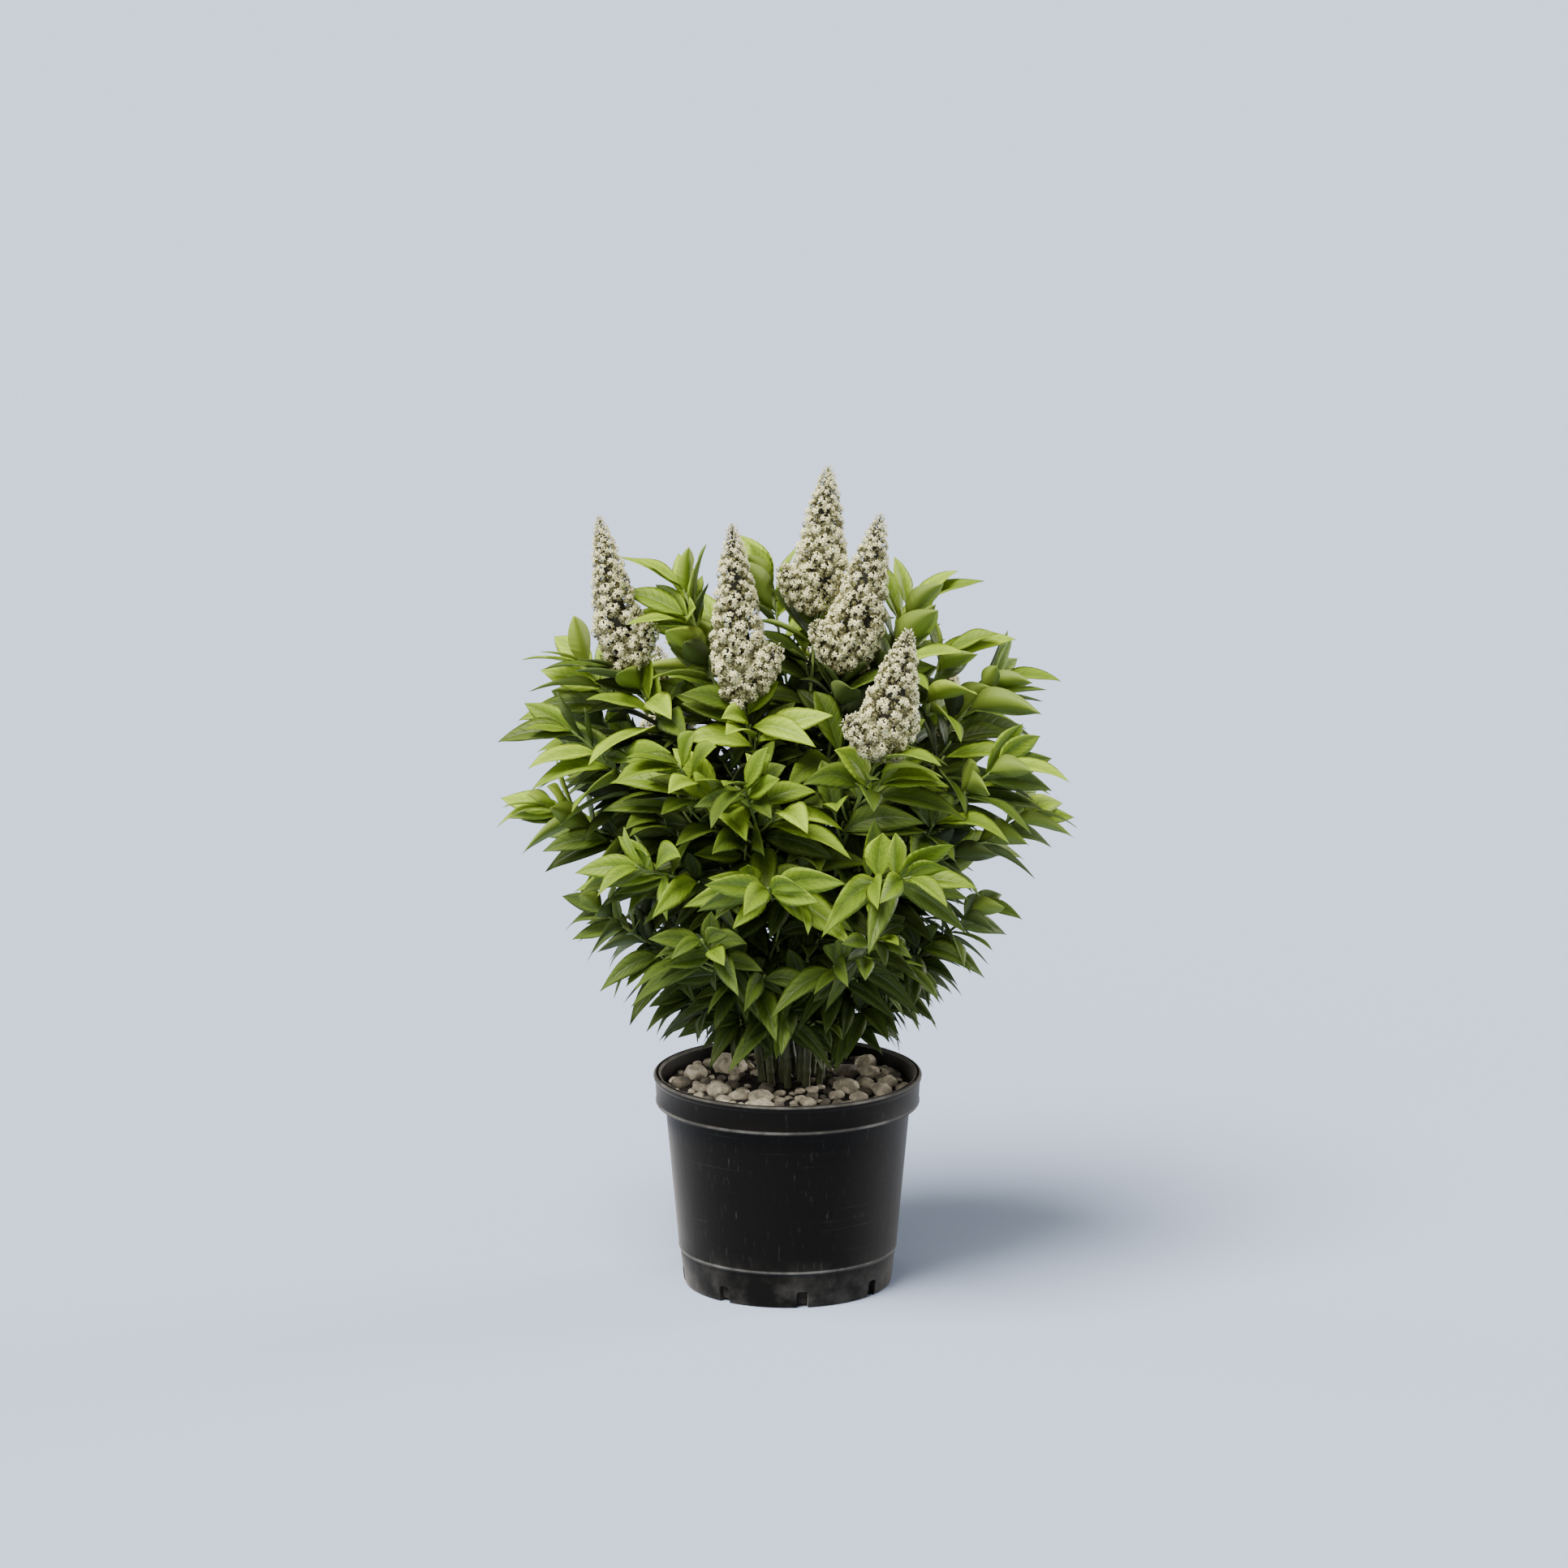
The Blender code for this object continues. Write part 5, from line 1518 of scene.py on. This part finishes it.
PETALS = 5
PETAL_OUTLINE = ((0.34, -0.5, 0.02), (0.84, -0.30, 0.22), (1.00, 0.0, 0.20), (0.84, 0.30, 0.22))


def floret_template():
    """A floret's points and faces: five petals in one star, thin at its edge, with a raised heart."""
    rim = []
    for petal in range(PETALS):
        for reach, turn, lift in PETAL_OUTLINE:
            rim.append(radial(math.tau * (petal + turn) / PETALS) * reach + UP * lift)
    heart = [radial(math.tau * k / PETALS) * 0.24 + UP * 0.05 for k in range(PETALS)]
    points = np.array([*rim, UP * 0.0, UP * -0.14, *heart, UP * 0.26])
    count = len(rim)
    around = np.arange(count)
    after = (around + 1) % count
    star = np.concatenate([
        np.stack([np.full(count, count), around, after], 1),
        np.stack([np.full(count, count + 1), after, around], 1),
    ])
    first, top = count + 2, count + 2 + PETALS
    five = np.arange(PETALS)
    low = (five + 1) % PETALS
    dome = np.concatenate([
        np.stack([first + five, first + low, np.full(PETALS, top)], 1),
        np.stack([first + low, first + five, np.full(PETALS, count)], 1),
    ])
    chart = np.stack([np.hypot(points[:, 0], points[:, 1]), np.arctan2(points[:, 1], points[:, 0]) / math.tau + 0.5], 1)
    return points, star, dome, chart


FLORET_POINTS, FLORET_STAR, FLORET_HEART, FLORET_CHART = floret_template()


def add_floret(pile, place, heading, size, finish, draw):
    """Five cupped petals round a small raised heart."""
    turn = heading.to_track_quat("Z", "Y") @ Quaternion(UP, draw.uniform(0, math.tau))
    cup = draw.uniform(0.8, 2.3)
    points = FLORET_POINTS * np.array((size / 2, size / 2, size / 2 * cup))
    points = points @ np.array(turn.to_matrix()).T + np.array(place)
    pile.add(points, (FLORET_STAR, finish, FLORET_CHART), (FLORET_HEART, 1, FLORET_CHART))


def add_bud(pile, place, heading, size, finish):
    """A closed bud: a small pointed ball."""
    points = []
    turn = heading.to_track_quat("Z", "Y")
    for height, width in ((0.25, 0.42), (0.72, 0.40)):
        for k in range(5):
            points.append(place + turn @ (radial(math.tau * k / 5) * width * size * 0.5 + UP * height * size))
    points += [place, place + heading * size]
    around = np.arange(5)
    after = (around + 1) % 5
    low = np.stack([np.full(5, 10), after, around], 1)
    high = np.stack([np.full(5, 11), around + 5, after + 5], 1)
    chart = np.tile((0.5, 0.5), (12, 1))
    pile.add(points, (ring_faces(2, 5), finish, chart), (low, finish, chart), (high, finish, chart))


def add_clump(petals, stalks, heart, out, size, opened, floret, draw):
    """A ball of florets on short stalks that spread from one point."""
    count = max(4, round(12 * (size / CLUMP_SIZES[1]) ** 1.2))
    turn = out.to_track_quat("Z", "Y")
    for index in range(count):
        lean = math.acos(1 - 1.25 * (index + 0.3) / count)
        spin = GOLDEN_ANGLE * index + draw.uniform(-0.3, 0.3)
        heading = turn @ Vector((math.sin(lean) * math.cos(spin), math.sin(lean) * math.sin(spin), math.cos(lean)))
        place = heart + heading * size * draw.uniform(0.76, 0.94)
        add_tube(stalks, Limb(heart, heart.lerp(place, 0.5), place, 0.00035, 0.0003), 2, 3, 2)
        if draw.random() < opened:
            light = heading.dot(out) * 0.6 + heading.z * 0.4 + draw.uniform(-0.15, 0.15)
            finish = 0 if light > PETAL_LIGHT else 3
            add_floret(petals, place, heading, floret * draw.uniform(0.85, 1.15), finish, draw)
        else:
            add_bud(petals, place, heading, floret * draw.uniform(0.45, 0.75), 2)


def add_spike(petals, stalks, foot, top, half_width, taper, floret, seed):
    """Clumps wind up a stalk by the golden angle, smaller and more closed towards its tip."""
    draw = seeded(seed, "clumps")
    axis = top - foot
    up = axis.normalized()
    turn = axis.to_track_quat("Z", "Y")
    add_tube(stalks, Limb(foot, foot.lerp(top, 0.5), top, 0.0014, 0.0004), 12, 6)

    # A near-black swollen stalk fills the spike's middle: painted shade in the gaps between the clumps
    def core(share, side):
        return half_width * spike_fullness(share, taper) * SHADE_CORE_WIDTH / 0.001 - 1 + draw.uniform(-0.15, 0.15)

    add_tube(stalks, Limb(foot, foot.lerp(top, 0.5), top, 0.001, 0.001), 18, 9, 1, 0.06, 0.90, core)
    place, index = 0.02, 0
    while place < 0.985:
        width = half_width * spike_fullness(place, taper)
        size = max(CLUMP_SIZES[0], min(CLUMP_SIZES[1], width * 0.34)) * draw.uniform(0.78, 1.22)
        side = turn @ radial(GOLDEN_ANGLE * index + draw.uniform(-0.2, 0.2))
        hang = max(0.0, 1 - place / CLUMPS_HANG)
        size *= 1 + 0.15 * hang
        out = (side + up * (0.25 - 0.6 * hang)).normalized()
        heart = foot + axis * place + side * max(0.0, width - size * draw.uniform(0.88, 1.18))
        heart -= UP * size * 0.7 * hang
        below = foot + axis * max(0, place - 0.03)
        # The stalks out to the clumps take the same near-black finish: painted shade
        add_tube(stalks, Limb(below, heart.lerp(foot + axis * place, 0.5), heart, 0.0006, 0.0004), 4, 3, 1)
        opened = 1.0 if place < 0.84 else max(0.0, 1 - (place - 0.84) / 0.12)
        share = (size / CLUMP_SIZES[1]) ** 0.5
        add_clump(petals, stalks, heart, out, size, opened, floret * share, draw)
        place += CLUMP_ROOM * size**2 / (max(width - size, 0.0055) * math.tau) / axis.length
        index += 1


def blossom_finishes(look):
    petal = Finish("petal", look.petal, 0.6)
    reach, _ = petal.chart()
    # Petals take the heart's yellow-green towards the floret's middle: partly their own colour, partly painted shade in
    # the cup
    base = (1 - reach.step(0.15, 0.70)) * 0.75
    petal.feed("Base Color", petal.mix(base.held(), tuple(look.petal), scaled(look.heart, 1.2)))
    heart = speckled("floret_heart", look.heart, 0.7, 1400)
    bud = speckled("closed_bud", look.bud, 0.6, 700)
    shaded = speckled("shaded_petal", look.shaded, 0.6, 500)
    return petal.material, heart, bud, shaded


class LAUREL_OT_blossom(bpy.types.Operator):
    """Set a flower spike on the tip of each flowering cane"""

    bl_idname = "laurel.make_blossom"
    bl_label = "Blossom"

    def execute(self, context):
        look = settings().blossom
        limbs = grown()[0]
        sides, stalks = {"left": Pile(), "right": Pile(), "back": Pile()}, Pile()
        for name, spike in SPIKES.items():
            limb = limbs[name]
            petals = sides["back" if name.startswith("back") else "left" if limb.tip.x < 0 else "right"]
            foot, top = limb.tip, limb.tip + Vector((spike.lean, spike.tilt, spike.length))
            add_spike(petals, stalks, foot, top, spike.half_width, SPIKE_TAPER, look.floret, name)
            wing_foot = foot.lerp(top, 0.04)
            out = Vector((spike.wing, -WING_FORWARD, 0)).normalized() * spike.half_width
            wing_top = wing_foot + out * WING_REACH + (top - foot) * WING_RISE
            wing_width = spike.half_width * WING_WIDTH
            add_spike(petals, stalks, wing_foot, wing_top, wing_width, WING_TAPER, look.floret, f"{name} wing")
        nodes = [f"blossom_{name}" for name in SPIKES]
        finishes = blossom_finishes(look)
        for side, petals in sides.items():
            show(f"{side}_florets", petals.mesh(f"{side}_florets"), "blossom", nodes, *finishes)
        shoot = settings().cane.shoot
        green = bark_finish("flower_stalk", shoot, scaled(shoot, 0.5), 400)
        # Near-black finish of the spike's core and clump stalks: painted shade
        inner = speckled("inner_stalks", scaled(look.shaded, 0.08), 0.8, 600)
        thin = speckled("floret_stalk", scaled(look.heart, 0.7), 0.7, 900)
        show("flower_stalks", stalks.mesh("flower_stalks"), "blossom", nodes, green, inner, thin)
        return {"FINISHED"}


# Stage


def sun_light(name, source, strength, angle, colour):
    """An even light from one direction over the whole floor."""
    data = bpy.data.lights.new(name, "SUN")
    data.energy, data.angle, data.color = strength, angle, colour
    made = bpy.data.objects.new(name, data)
    made.rotation_mode = "QUATERNION"
    made.rotation_quaternion = (-Vector(source)).to_track_quat("-Z", "Y")
    bpy.context.scene.collection.objects.link(made)


class LAUREL_OT_stage(bpy.types.Operator):
    """Lay the pale floor, light it softly and set up the photograph's camera"""

    bl_idname = "laurel.set_stage"
    bl_label = "Floor, lights and camera"

    def execute(self, context):
        stage = settings().stage
        form = bmesh.new()
        bmesh.ops.create_grid(form, x_segments=1, y_segments=1, size=60)
        floor = bpy.data.objects.new("floor", mesh_of(form, "floor"))
        context.scene.collection.objects.link(floor)
        floor.data.materials.append(Finish("pale_floor", stage.floor, 0.9).material)
        world = bpy.data.worlds.new("pale_room")
        world.use_nodes = True
        world.node_tree.nodes["Background"].inputs["Color"].default_value = (0.93, 0.955, 1.0, 1)
        world.node_tree.nodes["Background"].inputs["Strength"].default_value = 0.22
        context.scene.world = world
        sun_light("key", (-0.42, -0.48, 1.12), stage.light, math.radians(34), (1, 0.985, 0.95))
        sun_light("front_fill", (-0.36, -0.85, 0.38), 1.3, math.radians(50), (1, 0.99, 0.96))
        sun_light("left_rim", (-0.91, 0.42, 0.14), 1.2, math.radians(26), (1, 0.99, 0.96))
        sun_light("right_rim", (0.91, 0.42, 0.14), 3.8, math.radians(26), (1, 0.99, 0.96))
        elevation = stage.elevation
        back = Vector((0, -math.cos(elevation), math.sin(elevation)))
        up = Vector((0, math.sin(elevation), math.cos(elevation)))
        metres_per_pixel = stage.distance * 36 / stage.lens / PHOTO_SIDE
        rim_place = Vector((0, 0, POT_HIGH.z))
        target = rim_place + Vector((966 - 970.5, 0, 0)) * metres_per_pixel + up * (1320 - 966) * metres_per_pixel
        data = bpy.data.cameras.new("camera")
        data.lens, data.sensor_width = stage.lens, 36
        data.clip_end = 200
        camera = bpy.data.objects.new("camera", data)
        camera.rotation_mode = "QUATERNION"
        camera.location = target + back * stage.distance
        camera.rotation_quaternion = (-back).to_track_quat("-Z", "Y")
        context.scene.collection.objects.link(camera)
        context.scene.camera = camera
        return {"FINISHED"}


class LaurelSettings(bpy.types.PropertyGroup):
    pot: PointerProperty(type=LaurelPotSettings, name="Pot", description="Sizes and colours of the pot")
    soil: PointerProperty(type=LaurelSoilSettings, name="Soil", description="Colours of the soil and pebbles")
    cane: PointerProperty(type=LaurelCaneSettings, name="Canes", description="Colours of the canes")
    leaf: PointerProperty(type=LaurelLeafSettings, name="Leaves", description="Shape and colours of the leaves")
    blossom: PointerProperty(type=LaurelBlossomSettings, name="Blossom", description="The florets")
    stage: PointerProperty(type=LaurelStageSettings, name="Stage", description="Floor and camera")


STEPS = (LAUREL_OT_pot, LAUREL_OT_soil, LAUREL_OT_canes, LAUREL_OT_leaves, LAUREL_OT_blossom, LAUREL_OT_stage)


class LAUREL_PT_panel(bpy.types.Panel):
    """Lists the steps that make the plant, with their sizes and colours"""

    bl_idname = "LAUREL_PT_panel"
    bl_label = "Potted laurel"
    bl_space_type = "VIEW_3D"
    bl_region_type = "UI"
    bl_category = "Laurel"

    def draw(self, context):
        for step in STEPS:
            self.layout.operator(step.bl_idname)
        for group in (getattr(settings(), name) for name in ("pot", "soil", "cane", "leaf", "blossom", "stage")):
            box = self.layout.box()
            for name in group.__annotations__:
                box.prop(group, name)


CLASSES = (
    LaurelPotSettings,
    LaurelSoilSettings,
    LaurelCaneSettings,
    LaurelLeafSettings,
    LaurelBlossomSettings,
    LaurelStageSettings,
    LaurelSettings,
    *STEPS,
    LAUREL_PT_panel,
)


def register():
    for made in CLASSES:
        bpy.utils.register_class(made)
    bpy.types.Scene.laurel = PointerProperty(type=LaurelSettings, name="Potted laurel", description="All its settings")


def unregister():
    del bpy.types.Scene.laurel
    for made in reversed(CLASSES):
        bpy.utils.unregister_class(made)


def main():
    register()
    bpy.ops.laurel.make_pot()
    bpy.ops.laurel.make_soil()
    bpy.ops.laurel.make_canes()
    bpy.ops.laurel.make_leaves()
    bpy.ops.laurel.make_blossom()
    bpy.ops.laurel.set_stage()


if __name__ == "__main__":
    main()
